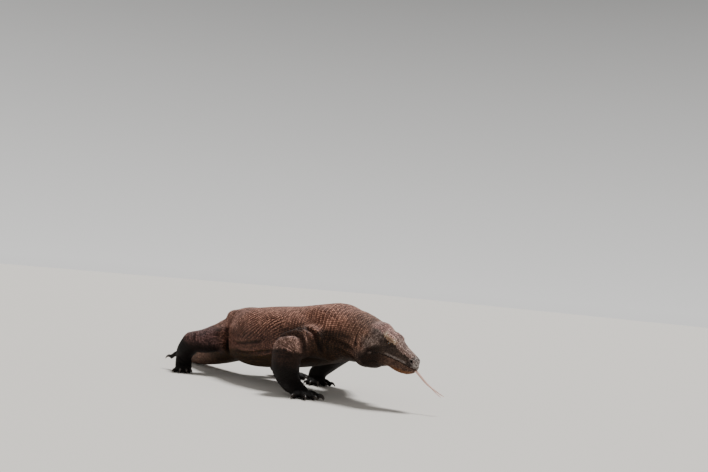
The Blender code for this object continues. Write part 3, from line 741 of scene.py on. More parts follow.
# over the eyeball, outwards
LID_EDGE = [(-0.001, 0.0), (0.0003, 0.0), (0.001, 0.0004), (0.0014, 0.0013)]
LID_SHARES = (0.1, 0.22, 0.36, 0.52, 0.68, 0.84, 1.0)  # from a lid's edge to its outline
HEAD_FOLDS = [  # course, width, height
    ([(-0.034, 0.031, 0.0165), (-0.012, 0.03, 0.0185), (0.008, 0.029, 0.0165), (0.024, 0.028, 0.0105)],
     0.006, 0.0036),  # brow ridge
    ([(0.02, 0.027, 0.013), (0.045, 0.0235, 0.0075), (0.072, 0.02, 0.0005), (0.098, 0.018, -0.0055)],
     0.005, 0.0016),  # ridge beside the snout's top
    ([(0.018, 0.04, -0.012), (0.006, 0.043, -0.0205), (-0.01, 0.044, -0.0215), (-0.022, 0.045, -0.013)],
     0.0036, -0.0016),  # crease under the eye
    ([(0.03, 0.039, -0.02), (0.004, 0.045, -0.031), (-0.026, 0.05, -0.028), (-0.04, 0.055, -0.018)],
     0.0042, -0.0011),  # crease under the pouch below it
    ([(-0.018, 0.041, 0.006), (-0.036, 0.047, 0.003), (-0.056, 0.055, -0.004)],
     0.0045, -0.0014),  # temple
    ([(-0.034, 0.05, -0.062), (-0.048, 0.053, -0.07), (-0.058, 0.052, -0.086), (-0.06, 0.044, -0.102)],
     0.006, -0.0032),  # behind the jaw's corner
    ([(-0.088, 0.06, -0.002), (-0.085, 0.063, -0.024), (-0.084, 0.062, -0.048), (-0.082, 0.056, -0.07)],
     0.006, -0.0028),  # behind the ear
    ([(-0.066, 0.062, -0.012), (-0.064, 0.064, -0.03), (-0.066, 0.062, -0.046)],
     0.0045, -0.0012),  # before the ear
    ([(-0.012, 0.048, -0.068), (0.02, 0.041, -0.065), (0.055, 0.036, -0.059), (0.085, 0.032, -0.052)],
     0.0042, -0.0012),  # along the lower jaw
    ([(-0.03, 0.044, -0.085), (0.01, 0.038, -0.08), (0.05, 0.031, -0.074)],
     0.0046, -0.0014),  # lower edge of the jaw
    ([(-0.07, 0.02, -0.14), (-0.02, 0.018, -0.108), (0.03, 0.014, -0.092), (0.075, 0.011, -0.083)],
     0.0046, -0.0013),  # throat
    ([(-0.08, 0.034, -0.136), (-0.03, 0.031, -0.102), (0.015, 0.026, -0.09)],
     0.0046, -0.0013),  # throat, further out
    ([(-0.1, 0.0, 0.04), (-0.094, 0.03, 0.032), (-0.09, 0.05, 0.012)], 0.007, -0.0016),  # nape
    ([(-0.116, 0.052, -0.01), (-0.106, 0.06, -0.036), (-0.094, 0.058, -0.064), (-0.076, 0.052, -0.09)],
     0.0055, -0.003),  # side of the neck
    ([(-0.138, 0.05, -0.026), (-0.126, 0.056, -0.052), (-0.108, 0.053, -0.086), (-0.084, 0.04, -0.116)],
     0.0055, -0.0026),  # side of the neck, further back
]
HEAD_SPOTS = [  # centre, reach each way, height
    ((0.052, 0.034, -0.013), (0.026, 0.02, 0.009), -0.003),  # hollow before the eye
    ((0.0, 0.0, 0.028), (0.03, 0.009, 0.02), -0.0016),  # between the brows
    ((-0.036, 0.046, 0.006), (0.014, 0.014, 0.01), -0.0022),  # temple
    ((-0.05, 0.06, -0.044), (0.028, 0.03, 0.024), 0.003),  # jaw muscle
    ((-0.052, 0.044, 0.012), (0.024, 0.02, 0.012), 0.0016),  # swelling behind the temple
    ((0.002, 0.012, -0.1), (0.019, 0.034, 0.02), 0.0135),  # floor of the mouth before the throat
    ((-0.074, 0.018, -0.143), (0.028, 0.04, 0.03), 0.0065),  # the throat's sag
    ((0.06, 0.02, -0.074), (0.036, 0.026, 0.014), 0.0056),  # chin
    ((0.078, 0.006, 0.0), (0.04, 0.018, 0.012), 0.0036),  # bridge of the snout
    ((-0.048, 0.0, 0.033), (0.029, 0.048, 0.02), -0.0095),  # flat back of the skull
]


def mouth_gap(h):
    """How far each point lies over the mouth line, in the head's side view; far off behind its corner."""
    line = smooth_rows([(a, u, 0) for a, u in MOUTH_LINE], 0.004)
    level = np.interp(h[:, 0], line[:, 0], line[:, 1])
    return np.where(h[:, 0] > MOUTH_LINE[0][0], h[:, 2] - level, 0.05)


def eye_frame(side):
    """The eye's centre, its gaze and the directions forward and up across it."""
    centre = at_head(EYE_OFFSET.x, side * (EYE_OFFSET.y - EYE_SINK), EYE_OFFSET.z)
    gaze = (HEAD_TURN @ Vector((GAZE[0], side, GAZE[1]))).normalized()
    ahead = HEAD_TURN @ Vector((1, 0, -0.12))
    ahead = (ahead - gaze * ahead.dot(gaze)).normalized()
    over = gaze.cross(ahead) * -side
    return centre, gaze, ahead, over


def round_eye(points, side):
    """How far each place lies from the eye's axis, as a share of the lids' outline; far off elsewhere."""
    centre, gaze, ahead, over = eye_frame(side)
    away = points - np.array(centre)
    share = np.hypot(away @ np.array(ahead) / LID_REACH[0], away @ np.array(over) / LID_REACH[1])
    return np.where(np.abs(away @ np.array(gaze)) < 0.02, share, FAR_OFF)


def on_whole_head(h):
    """Which places lie on the head or its throat."""
    return (h[:, 0] > HEAD_FROM) & (h[:, 2] > THROAT_LEVEL)


def refine_head(obj):
    """Finer faces on the head, and finer still round the eyes, nostrils, ears and lips."""
    mesh = bmesh.new()
    mesh.from_mesh(obj.data)
    for wanted in (on_whole_head, near_features):
        split_faces(mesh, wanted(in_head(np.array([f.calc_center_median() for f in mesh.faces]))))
    spots = in_head(np.array([v.co for v in mesh.verts]))
    soft = [v for v, a in zip(mesh.verts, spots[:, 0]) if a > -0.11]
    every_way = {"use_axis_x": True, "use_axis_y": True, "use_axis_z": True}
    for _ in range(HEAD_SMOOTHING):
        bmesh.ops.smooth_vert(mesh, verts=soft, factor=0.5, **every_way)
    mesh.to_mesh(obj.data)
    mesh.free()


def near_features(h):
    """Which places on the head lie near an eye, a nostril, an ear or the lips."""
    near = np.abs(mouth_gap(h)) < FINE_LIPS
    for centre, reach in FINE_AREAS:
        near |= np.linalg.norm(on_left(h) - np.array(centre), axis=1) < reach
    return near


def head_folds(h):
    """The lift of each place on the head, given in the head's axes, by its folds."""
    left = on_left(h)
    lift = np.zeros(len(h))
    for course, width, height in HEAD_FOLDS:
        lift += fold_lift(left, course, width, height)
    return lift * ramp(h[:, 0], *HEAD_BLEND)


def head_features(h):
    """The lift of each place on the head by its swellings, lips, nostrils and ears."""
    left = on_left(h)
    lift = np.zeros(len(h))
    for centre, radii, height in HEAD_SPOTS:
        lift += spot_lift(left, centre, radii, height)
    over = mouth_gap(h)
    lips = sum(height * bell(over, level, width) for level, width, height in LIPS)
    lift += ramp(h[:, 0], -0.036, -0.02) * lips
    for centre, half_length, half_height, depth, side_only in PITS:
        away = from_pit(left, centre, half_length, half_height)
        here = left[:, 1] > side_only
        lift -= here * depth * ramp(away, 1.15, 0.55)
        lift += here * PIT_RIM * bell(away, 1.45, 0.35)
    return lift * ramp(h[:, 0], *HEAD_BLEND)


def sculpt_head(obj):
    """Brows, snout ridges, lips, nostrils, ears, the folds of cheek and throat, and the sockets."""
    points = corners_of(obj.data)
    h = in_head(points)
    points += normals_of(obj.data) * (head_folds(h) + head_features(h))[:, None]
    for side in (-1, 1):
        inside = ramp(round_eye(points, side), *SOCKET_EDGE) * (in_head(points)[:, 1] * side > 0.015)
        points -= inside[:, None] * SOCKET_DEPTH * np.array(eye_frame(side)[1])
    move_corners(obj, points)


def make_lids(side, surface):
    """Both lids of an eye as one ring: rounded at its edge, puffed over the eyeball, level with the skin."""
    centre, gaze, ahead, over = eye_frame(side)
    length, above, below = LID_OPENING
    rings = []
    for i in range(LID_SEGMENTS):
        angle = 2 * math.pi * i / LID_SEGMENTS
        x = length * math.cos(angle)
        height = above if math.sin(angle) > 0 else below
        y = height * math.copysign(abs(math.sin(angle)) ** LID_POINT, math.sin(angle))
        reach = math.hypot(x, y)
        outward = (ahead * x + over * y) / reach
        bend = reach / EYE_RADIUS
        toward = gaze * math.cos(bend) + outward * math.sin(bend)
        edge = centre + toward * EYE_RADIUS
        ring = [edge + toward * height + outward * out for height, out in LID_EDGE]
        outline = 1 / math.hypot(x / reach / LID_REACH[0], y / reach / LID_REACH[1])
        foot = surface.ray_cast(centre + outward * outline + gaze * 0.04, -gaze)[0]
        puff = LID_PUFF[0] if y > 0 else LID_PUFF[1]
        puff = LID_PUFF[1] + (puff - LID_PUFF[1]) * abs(y) / above
        start = ring[-1]
        for share in LID_SHARES:
            swell = puff * 6.75 * share * (1 - share) ** 2  # 1 at its highest, a third of the way out
            ring.append(start.lerp(foot, share) + gaze * (swell - 0.0003 * share))
        ring.append(foot - gaze * 0.004)
        ring.append(edge - toward * 0.003 + outward * 0.002)
        rings.append(ring)
    return closed_loft(rings)


def closed_loft(rings):
    """A ring-shaped body whose sections follow each other in a circle."""
    mesh = bmesh.new()
    loops = [bmesh.ops.create_circle(mesh, segments=len(ring), radius=1)["verts"] for ring in rings]
    for verts, ring in zip(loops, rings):
        for vert, place in zip(verts, ring):
            vert.co = place
    for near, far in zip(loops, [*loops[1:], loops[0]]):
        edges = [e for e in mesh.edges if e.verts[0] in near and e.verts[1] in near]
        edges += [e for e in mesh.edges if e.verts[0] in far and e.verts[1] in far]
        bmesh.ops.bridge_loops(mesh, edges=edges)
    bmesh.ops.recalc_face_normals(mesh, faces=mesh.faces)
    return new_object("lids", mesh)


# ---- Folds of the body ----
# which side (0 is both), course given on the right side, width, height
BODY_FOLDS = [
    (-1, [(-0.034, -0.19, 0.255), (0.0, -0.189, 0.247), (0.02, -0.18, 0.238), (0.036, -0.174, 0.212),
          (0.038, -0.156, 0.184), (0.034, -0.136, 0.158)], 0.0075, -0.0085),  # shoulder against chest
    (-1, [(-0.02, -0.184, 0.26), (0.012, -0.178, 0.252), (0.034, -0.169, 0.238), (0.048, -0.162, 0.212),
          (0.05, -0.146, 0.184), (0.046, -0.128, 0.158)],
     0.0036, 0.0022),  # the edge of the chest beside it
    (-1, [(-0.094, -0.262, 0.18), (-0.07, -0.262, 0.208), (-0.046, -0.252, 0.224), (-0.022, -0.236, 0.229),
          (0.002, -0.222, 0.217), (0.012, -0.214, 0.186), (0.004, -0.205, 0.15)],
     0.0095, -0.01),  # over the elbow
    (-1, [(-0.08, -0.282, 0.168), (-0.06, -0.286, 0.171), (-0.037, -0.286, 0.173), (-0.016, -0.272, 0.17),
          (-0.004, -0.25, 0.16), (0.002, -0.226, 0.142)],
     0.0042, 0.0042),  # loose skin's edge at the elbow
    (-1, [(-0.06, -0.19, 0.25), (-0.034, -0.194, 0.254), (-0.008, -0.188, 0.248)], 0.0034, 0.003),
    (-1, [(-0.052, -0.208, 0.244), (-0.028, -0.21, 0.246), (-0.006, -0.204, 0.242)], 0.0032, 0.0028),
    (-1, [(-0.042, -0.222, 0.238), (-0.022, -0.222, 0.237), (-0.004, -0.213, 0.234)], 0.003, 0.0022),
    (1, [(-0.01, -0.165, 0.25), (0.02, -0.15, 0.232), (0.03, -0.135, 0.2), (0.02, -0.12, 0.165)],
     0.008, -0.007),
    (1, [(-0.14, -0.175, 0.246), (-0.105, -0.176, 0.252), (-0.07, -0.165, 0.258)], 0.005, -0.0045),
    (1, [(-0.12, -0.19, 0.236), (-0.088, -0.186, 0.244), (-0.055, -0.175, 0.25)], 0.0045, -0.004),
    (0, [(0.045, -0.142, 0.228), (0.066, -0.132, 0.222), (0.092, -0.121, 0.214), (0.126, -0.111, 0.204),
         (0.156, -0.105, 0.192), (0.176, -0.098, 0.174)], 0.007, -0.0075),  # shoulder into neck
    (0, [(0.09, -0.118, 0.246), (0.13, -0.11, 0.236), (0.168, -0.104, 0.222), (0.19, -0.102, 0.2)],
     0.006, -0.003),
    (0, [(0.06, -0.124, 0.19), (0.095, -0.114, 0.182), (0.135, -0.1, 0.17), (0.17, -0.08, 0.15)],
     0.006, -0.004),
    (0, [(-0.535, -0.145, 0.16), (-0.5, -0.156, 0.152), (-0.455, -0.165, 0.149), (-0.365, -0.184, 0.159),
         (-0.285, -0.192, 0.172), (-0.225, -0.192, 0.194)], 0.0052, -0.0056),  # upper fold along the flank
    (0, [(-0.505, -0.142, 0.124), (-0.47, -0.15, 0.116), (-0.43, -0.157, 0.114), (-0.362, -0.169, 0.119),
         (-0.27, -0.178, 0.133), (-0.2, -0.176, 0.15)], 0.0055, -0.0078),  # lower fold along the flank
    (0, [(-0.47, -0.132, 0.096), (-0.4, -0.142, 0.09), (-0.32, -0.148, 0.096), (-0.24, -0.146, 0.11)],
     0.007, -0.0035),
    (0, [(-0.59, -0.128, 0.236), (-0.577, -0.136, 0.2), (-0.568, -0.136, 0.16), (-0.588, -0.114, 0.12),
         (-0.622, -0.082, 0.084)], 0.01, -0.011),  # groin
    (-1, [(-0.7, -0.226, 0.17), (-0.68, -0.232, 0.166), (-0.668, -0.238, 0.146), (-0.676, -0.24, 0.124)],
     0.006, -0.0045),
    (-1, [(-0.64, -0.19, 0.19), (-0.65, -0.206, 0.16), (-0.668, -0.206, 0.126)], 0.007, -0.003),
]
BODY_SPOTS = [  # which side, centre on the right side, reach each way, height
    (-1, (-0.04, -0.268, 0.194), (0.034, 0.03, 0.026), 0.0075),  # point of the elbow
    (-1, (-0.705, -0.244, 0.15), (0.02, 0.024, 0.022), 0.0045),  # knee cap
    (0, (-0.566, -0.134, 0.226), (0.024, 0.03, 0.018), -0.007),  # under the hip bone
    (0, (-0.07, -0.142, 0.293), (0.036, 0.03, 0.022), -0.005),  # behind the shoulder blade
    (0, (-0.03, -0.12, 0.325), (0.06, 0.03, 0.02), 0.003),  # shoulder blade
    (0, (0.0, -0.034, 0.352), (0.07, 0.07, 0.04), 0.0026),  # withers
    (0, (0.074, -0.036, 0.345), (0.034, 0.06, 0.03), -0.007),  # dip of the nape
    (0, (-0.626, -0.146, 0.214), (0.034, 0.034, 0.026), -0.012),  # top of the thigh before the hip
]
RIB_SPACING = 0.0128  # between the slanting wrinkles of the flank
RIB_SLOPE = 1.42  # how far forward they lean for each metre up
RIB_HEIGHT = 0.0017
CUFF_SPACING = 0.0105  # between the wrinkles round wrists and ankles
CUFF_HEIGHT = 0.0009


def on_right(points):
    """The points with those of the left side carried over to the right, and which side each is on."""
    middle = trunk_middle(points[:, 0])
    side = np.where(points[:, 1] > middle, 1, -1)
    folded = points.copy()
    folded[:, 1] = middle - np.abs(points[:, 1] - middle)
    return folded, side


def course_folds(right, side):
    """The lift of each place on the body by the folds that have courses."""
    lift = np.zeros(len(right))
    for which, course, width, height in BODY_FOLDS:
        lift += fold_lift(right, course, width, height) * ((which == 0) | (side == which))
    return lift


def body_folds(points):
    """The lift of each place on the body by its folds and wrinkles."""
    right, side = on_right(points)
    return course_folds(right, side) + rib_wrinkles(right) + cuff_wrinkles(points)


def body_swellings(points):
    """The lift of each place on the body by its swellings and hollows."""
    right, side = on_right(points)
    lift = np.zeros(len(points))
    for which, centre, radii, height in BODY_SPOTS:
        lift += spot_lift(right, centre, radii, height) * ((which == 0) | (side == which))
    return lift


def rib_wrinkles(right):
    """Slanting wrinkles between shoulder and hip, uneven in strength."""
    x, _, z = right.T
    phase = (x - RIB_SLOPE * z) / math.hypot(1, RIB_SLOPE) / RIB_SPACING
    phase = phase + 0.35 * np.sin(31 * x + 9 * z) + 0.22 * np.sin(57 * z - 23 * x)
    strength = 0.8 + 0.2 * np.sin(44 * x + 70 * z)
    here = between(x, -0.535, -0.47, -0.2, -0.13) * between(z, 0.155, 0.185, 0.266, 0.312)
    return RIB_HEIGHT * here * strength * np.sin(2 * math.pi * phase)


def cuff_wrinkles(points):
    """Wrinkles round elbows and knees, and above wrists and ankles."""
    lift = np.zeros(len(points))
    for leg in LEGS.values():
        course = smooth_rows([leg[joint][:3] for joint in JOINTS[1:]], 0.01)
        length = np.linalg.norm(np.diff(course, axis=0), axis=1).sum()
        gap, share = course_gap(points, course)
        along = share * length
        bend = np.linalg.norm(np.array(leg["joint"][:3]) - np.array(leg["upper"][:3]))
        here = bell(along, bend, 0.03) * 0.7 + bell(along - length, -0.012, 0.022)
        here *= ramp(gap, 0.075, 0.06) * (share > 0) * (share < 1)
        phase = along / CUFF_SPACING + 0.2 * np.sin(90 * points[:, 2])
        lift += CUFF_HEIGHT * here * np.sin(2 * math.pi * phase)
    return lift


def refine_body(obj):
    """Finer faces where wrinkles are narrow: on the flanks, and round the right shoulder and elbow."""
    mesh = bmesh.new()
    mesh.from_mesh(obj.data)
    x, y, z = np.array([f.calc_center_median() for f in mesh.faces]).T
    chosen = (x > -0.51) & (x < -0.15) & (z > 0.17) & (z < 0.298) & (np.abs(y - trunk_middle(x)) > 0.092)
    chosen |= (x > -0.11) & (x < 0.06) & (z > 0.135) & (z < 0.262) & (y < -0.16)
    split_faces(mesh, chosen)
    mesh.to_mesh(obj.data)
    mesh.free()


def sculpt_body(obj):
    """Presses the body's folds in, and raises its swellings."""
    points = corners_of(obj.data)
    points += normals_of(obj.data) * (body_folds(points) + body_swellings(points))[:, None]
    move_corners(obj, points)


def sink_under_coat(obj):
    """Draws the skin in by the scales' depth, and flattens soles and tail on the floor."""
    points = corners_of(obj.data)
    points -= normals_of(obj.data) * COAT_DEPTH
    points[:, 2] = np.maximum(points[:, 2], FLOOR_SKIN)
    move_corners(obj, points)


# ---- Where the scales stand ----
TRUNK_PITCH = [  # along the body from the tip of the tail, in metres, and the distance between scales there
    (0.0, 0.003), (0.2, 0.0044), (0.6, 0.0062), (1.1, 0.007), (1.4, 0.0066),
    (1.75, 0.0068), (1.9, 0.008), (2.08, 0.0082), (2.2, 0.0072), (2.33, 0.0056),
]
NECK_ROWS_END = 0.232  # from the snout, where rows give way to the head's scattered scales
LIMB_PITCH = (0.0064, 0.0048)  # at the shoulder or hip, and at the wrist or ankle
TOE_PITCH = 0.0038
ROW_SHARE = 0.87  # distance between rows, against that between scales in a row
CLOSEST = 0.74  # how near two scales may stand, against their pitch
FACING = 0.15  # the least cosine between a ray and the normal of the skin that it meets
BODY_RAYS = 180
BODY_REACH = 1.22  # skin further from the axis than this many times the section's size is a limb's
BODY_SLACK = 0.012
LIMB_RAYS = 72
LIMB_REACH = 1.3  # the same for limbs
LIMB_SLACK = 0.004
TOE_RAYS = 28
TOE_REACH = TOE_RADIUS * 1.25  # no skin further than this from a toe's axis belongs to it
CELL = 0.008  # of the grid in which neighbours are looked up
FACE_PITCH = 0.0039
CROWN_PITCH = 0.0021  # how much more on the crown
NECK_PITCH = 0.0022  # how much more towards the neck
LIP_PITCH = 0.0042
# centre, reach, pitch
SMALL_PITCHES = ((EYE_OFFSET, 0.017, 0.0023), (NOSTRIL, 0.009, 0.0024), (EAR, 0.012, 0.0028))
HEAD_SCALES_FROM = -0.125  # along the head's own axis
HEAD_TRIES = 300000
SPREADING = 12  # rounds in which the head's scales move apart
PUSH_REACH = 1.45  # how far they push each other, against their pitch
PUSH = 0.22
OPEN_HEIGHT = 0.006  # over a place on the skin: a scale needs this much free room
OPEN_ERROR = 0.0006
LID_MARGIN = 0.0011  # bare width of the lids' edge
BARE_NOSTRIL = (0.0052, 0.0036)  # half its length and height
BARE_EAR = (0.0034, 0.0066)
BARE_LIPS = 0.0013  # each way from the mouth line
GAP_TRIES = 600000
GAP_SCALES = (1.0, 0.72)  # full-sized scales first, then small ones where skin still shows
GAP_REACH = 0.1  # no scale is set further than this from its nearest neighbour

Root = namedtuple("Root", "place normal back pitch chart spot row")  # back is the way that the scale points


class Coat:
    """The surface that carries the scales, and the roots of all of them."""

    def __init__(self, surface):
        self.surface = surface
        self.cells = {}
        self.roots = []

    def crowded(self, place, pitch):
        """Whether a scale of that pitch would stand too near another."""
        x, y, z = (math.floor(c / CELL) for c in place)
        for cell in product((x - 1, x, x + 1), (y - 1, y, y + 1), (z - 1, z, z + 1)):
            for other, other_pitch in self.cells.get(cell, ()):
                if (place - other).length < CLOSEST * (pitch + other_pitch) / 2:
                    return True
        return False

    def mark(self, place, pitch):
        """Notes that a scale of that pitch takes up the place."""
        self.cells.setdefault(tuple(math.floor(c / CELL) for c in place), []).append((place, pitch))

    def add(self, place, normal, back, pitch, chart, spot, row=0):
        """Roots a scale, unless it would crowd another."""
        if self.crowded(place, pitch):
            return
        back = back - normal * back.dot(normal)
        if back.length < 1e-6:
            back = normal.orthogonal()
        self.mark(place, pitch)
        self.roots.append(Root(place, normal, back.normalized(), pitch, chart, spot, row))

    def ring(self, centre, side, over, back, pitch, limit, rays, chart, along, row):
        """One row of scales round an axis. They are counted from the top both ways, so that rows line up."""
        for way in (-1, 1):
            arc = 0.0
            wanted = pitch * (0.5 if row % 2 else (0.0 if way > 0 else 1.0))
            last = None
            for i in range(rays // 2 + 1):
                angle = math.pi / 2 + way * math.pi * i / (rays // 2)
                direction = side * math.cos(angle) + over * math.sin(angle)
                place, normal, _, far = self.surface.ray_cast(centre, direction)
                if place is None or far > limit(angle) or normal.dot(direction) < FACING:
                    last = None
                    arc += pitch * 0.4
                    wanted = math.ceil(arc / pitch) * pitch + (pitch / 2 if row % 2 else 0)
                    continue
                if last is not None:
                    step = (place - last[0]).length
                    while wanted <= arc + step and step > 0:
                        share = (wanted - arc) / step
                        spot = last[0].lerp(place, share)
                        lean = last[1].lerp(normal, share).normalized()
                        self.add(spot, lean, back, pitch, chart, (along, way * wanted), row)
                        wanted += pitch
                    arc += step
                elif wanted <= arc:
                    self.add(place, normal, back, pitch, chart, (along, way * wanted), row)
                    wanted += pitch
                last = (place, normal)


def spaced(lengths, pitch_at):
    """Distances along an axis at which rows stand, closer together where scales are smaller."""
    found = []
    place = lengths[0]
    while place < lengths[-1]:
        found.append(place)
        place += pitch_at(place) * ROW_SHARE
    return found


def along_axis(centres):
    """How far along an axis each of its points lies."""
    return np.concatenate([[0], np.cumsum(np.linalg.norm(np.diff(centres, axis=0), axis=1))])


def read_axis(lengths, values, place):
    """The values between those given at some lengths of an axis."""
    return np.array([np.interp(place, lengths, column) for column in np.array(values).T])


def body_rows(coat):
    """Rows round tail, trunk and neck, up to the back of the head."""
    centres, sides, overs, *sizes = (np.array(column) for column in zip(*body_stations()))
    lengths = along_axis(centres)
    sizes = np.column_stack(sizes[:3])
    neck_end = lengths[-1] - NECK_ROWS_END
    pitches = np.array(TRUNK_PITCH).T
    for row, place in enumerate(spaced(lengths[lengths < neck_end], lambda s: np.interp(s, *pitches))):
        pitch = float(np.interp(place, *pitches))
        side = Vector(read_axis(lengths, sides, place)).normalized()
        over = Vector(read_axis(lengths, overs, place)).normalized()
        half, above, below = read_axis(lengths, sizes, place)

        def limit(angle):
            """How far from the axis the body's own skin can be."""
            up = above if math.sin(angle) > 0 else below
            return BODY_REACH * math.hypot(half * math.cos(angle), up * math.sin(angle)) + BODY_SLACK

        centre = Vector(read_axis(lengths, centres, place))
        coat.ring(centre, side, over, over.cross(side), pitch, limit, BODY_RAYS, "body", float(place), row)


def limb_rows(coat, name, leg):
    """Rows down a limb, from shoulder or hip to wrist or ankle."""
    rows = smooth_rows([leg[joint] for joint in JOINTS], 0.01)
    lengths = along_axis(rows[:, :3])
    outward = Vector((0.2, leg["side"], 0.6))
    start, finish = LIMB_PITCH

    def pitch_at(s):
        """The distance between scales so far down the limb."""
        return start + (finish - start) * s / lengths[-1]

    for row, place in enumerate(spaced(lengths, pitch_at)):
        centre = read_axis(lengths, rows, place)
        ahead = Vector(read_axis(lengths, np.gradient(rows[:, :3], axis=0), place)).normalized()
        over = (outward - ahead * outward.dot(ahead)).normalized()
        size = max(centre[3], centre[4])
        pitch = float(pitch_at(place))
        side = ahead.cross(over)
        middle = Vector(centre[:3])
        reach = size * LIMB_REACH + LIMB_SLACK
        coat.ring(middle, side, over, ahead, pitch, lambda angle: reach, LIMB_RAYS, name, float(place), row)


def toe_rows(coat, name, leg):
    """Rows down each toe, as far as the claw's root."""
    for number, points, _ in toe_courses(leg):
        rows = smooth_rows([tuple(p) for p in points], 0.006)
        lengths = along_axis(rows)
        chart = f"{name}_toe_{number}"
        for row, place in enumerate(spaced(lengths, lambda s: TOE_PITCH)):
            centre = Vector(read_axis(lengths, rows, place))
            ahead = Vector(read_axis(lengths, np.gradient(rows, axis=0), place)).normalized()
            side = ahead.cross(Vector((0, 0, 1))).normalized()
            axes = (centre, side, side.cross(ahead), ahead)
            coat.ring(*axes, TOE_PITCH, lambda angle: TOE_REACH, TOE_RAYS, chart, float(place), row)


def over_mask(h):
    """How far each place on the head lies over the dark mask's upper edge."""
    return h[:, 2] - np.interp(h[:, 0], *np.array(MASK_EDGE).T)


def head_pitch(h):
    """The wanted distance between scales on the head: wide plates on the crown, small ones on the face."""
    left = on_left(h)
    crown = ramp(over_mask(h), 0.001, 0.009) * ramp(h[:, 0], -0.1, -0.06)
    pitch = FACE_PITCH + CROWN_PITCH * crown
    pitch = np.maximum(pitch, FACE_PITCH + NECK_PITCH * ramp(h[:, 0], -0.07, -0.12))
    pitch = pitch + bell(np.abs(mouth_gap(h)), 0.003, 0.004) * (LIP_PITCH - pitch)
    for centre, radius, small in SMALL_PITCHES:
        close = ramp(np.linalg.norm(left - np.array(centre), axis=1), radius * 1.5, radius * 0.8)
        pitch = pitch + close * (np.minimum(pitch, small) - pitch)
    return pitch


def surface_spots(obj, count):
    """Evenly scattered places on the skin, with their normals."""
    data = obj.data
    data.calc_loop_triangles()
    corners = np.empty(len(data.loop_triangles) * 3, np.int64)
    data.loop_triangles.foreach_get("vertices", corners)
    trio = corners_of(data)[corners.reshape(-1, 3)]
    cross = np.cross(trio[:, 1] - trio[:, 0], trio[:, 2] - trio[:, 0])
    area = np.linalg.norm(cross, axis=1)
    picked = CHANCE.choice(len(trio), count, p=area / area.sum())
    a, b = np.sqrt(CHANCE.random(count)), CHANCE.random(count)
    weights = np.stack([1 - a, a * (1 - b), a * b], 1)
    spots = (trio[picked] * weights[:, :, None]).sum(1)
    return spots, cross[picked] / area[picked][:, None]


def spread_evenly(surface, places, fixed):
    """Moves scattered places apart over the surface until they stand evenly. The fixed ones stay."""
    for _ in range(SPREADING):
        tree = tree_of([*places, *fixed])
        moved = []
        for place, pitch in zip(places, head_pitch(in_head(np.array(places)))):
            reach = pitch * PUSH_REACH
            push = Vector()
            for other, _, far in tree.find_range(place, reach):
                if far > 1e-7:
                    push += (place - other) * (1 / far - 1 / reach)
            moved.append(surface.find_nearest(place + push * pitch * PUSH)[0])
        places = moved
    return places


def in_the_open(surface, place, normal):
    """Whether nothing of the surface lies over a place."""
    hit = surface.ray_cast(place + normal * OPEN_HEIGHT, -normal)[0]
    return hit is not None and (hit - place).length < OPEN_ERROR


def bare_spots(h):
    """Places on the head that carry no scales: eyeballs, nostrils, ears and the slit of the mouth."""
    left = on_left(h)
    bare = np.abs(mouth_gap(h)) < BARE_LIPS
    for pit, (half_length, half_height), side_only in ((NOSTRIL, BARE_NOSTRIL, 0), (EAR, BARE_EAR, 0.03)):
        bare |= (from_pit(h, pit, half_length, half_height) < 1) & (left[:, 1] >= side_only)
    for side in (-1, 1):
        centre, _, ahead, over = eye_frame(side)
        away = h @ np.array(HEAD_TURN).T + np.array(EYE_LEVEL) - np.array(centre)
        length, above, below = LID_OPENING
        x = away @ np.array(ahead) / (length + LID_MARGIN)
        y = away @ np.array(over)
        y = y / (np.where(y > 0, above, below) + LID_MARGIN)
        bare |= (np.hypot(x, y) < 1) & (h[:, 1] * side > 0)
    return bare


def fill_head(coat, obj):
    """The head's plates and beads, which stand in no rows: scattered, then spread evenly."""
    spots, normals = surface_spots(obj, HEAD_TRIES)
    h = in_head(spots)
    here = (h[:, 0] > HEAD_SCALES_FROM) & (h[:, 2] > THROAT_LEVEL)
    spots, normals, h = spots[here], normals[here], h[here]
    scattered = []
    for place, normal, pitch in zip(spots, normals, head_pitch(h)):
        place = Vector(place)
        if coat.crowded(place, pitch) or not in_the_open(coat.surface, place, Vector(normal)):
            continue
        coat.mark(place, pitch)
        scattered.append(place)
    border = in_head(np.array([root.place for root in coat.roots]))[:, 0]
    fixed = [root.place for root, ahead in zip(coat.roots, border) if ahead > HEAD_SCALES_FROM - 0.02]
    places = spread_evenly(coat.surface, scattered, fixed)
    h = in_head(np.array(places))
    backward = -head_axes()[0]
    for place, at, pitch, bare in zip(places, h, head_pitch(h), bare_spots(h)):
        normal = coat.surface.find_nearest(place)[1]
        if bare or not in_the_open(coat.surface, place, normal):
            continue
        back = backward - normal * backward.dot(normal)
        if back.length < 0.2:
            back = Vector((0, 0, -1)) - normal * -normal.z
        spot = (float(at[0]), math.atan2(at[1], at[2] + 0.035) * 0.055)
        coat.roots.append(Root(place, normal, back.normalized(), float(pitch), "head", spot, 0))


def fill_gaps(coat, obj, share):
    """Scales of a share of their neighbours' size where the others leave gaps, as between toes."""
    tree = tree_of([root.place for root in coat.roots])
    spots, normals = surface_spots(obj, GAP_TRIES)
    h = in_head(spots)
    for place, normal, ahead, bare in zip(spots, normals, h[:, 0], bare_spots(h)):
        place = Vector(place)
        _, i, far = tree.find(place)
        beside = coat.roots[i]
        if far < CLOSEST * beside.pitch * (1 + share) / 2 or far > GAP_REACH:
            continue
        if bare or (ahead > HEAD_SCALES_FROM + 0.02 and share == 1):
            continue
        normal = Vector(normal)
        if ahead > HEAD_SCALES_FROM and not in_the_open(coat.surface, place, normal):
            continue
        shift = place - beside.place
        across = shift.dot(beside.normal.cross(beside.back))
        spot = (beside.spot[0] - shift.dot(beside.back), beside.spot[1] + across)
        coat.add(place, normal, beside.back, beside.pitch * share, beside.chart, spot, beside.row)


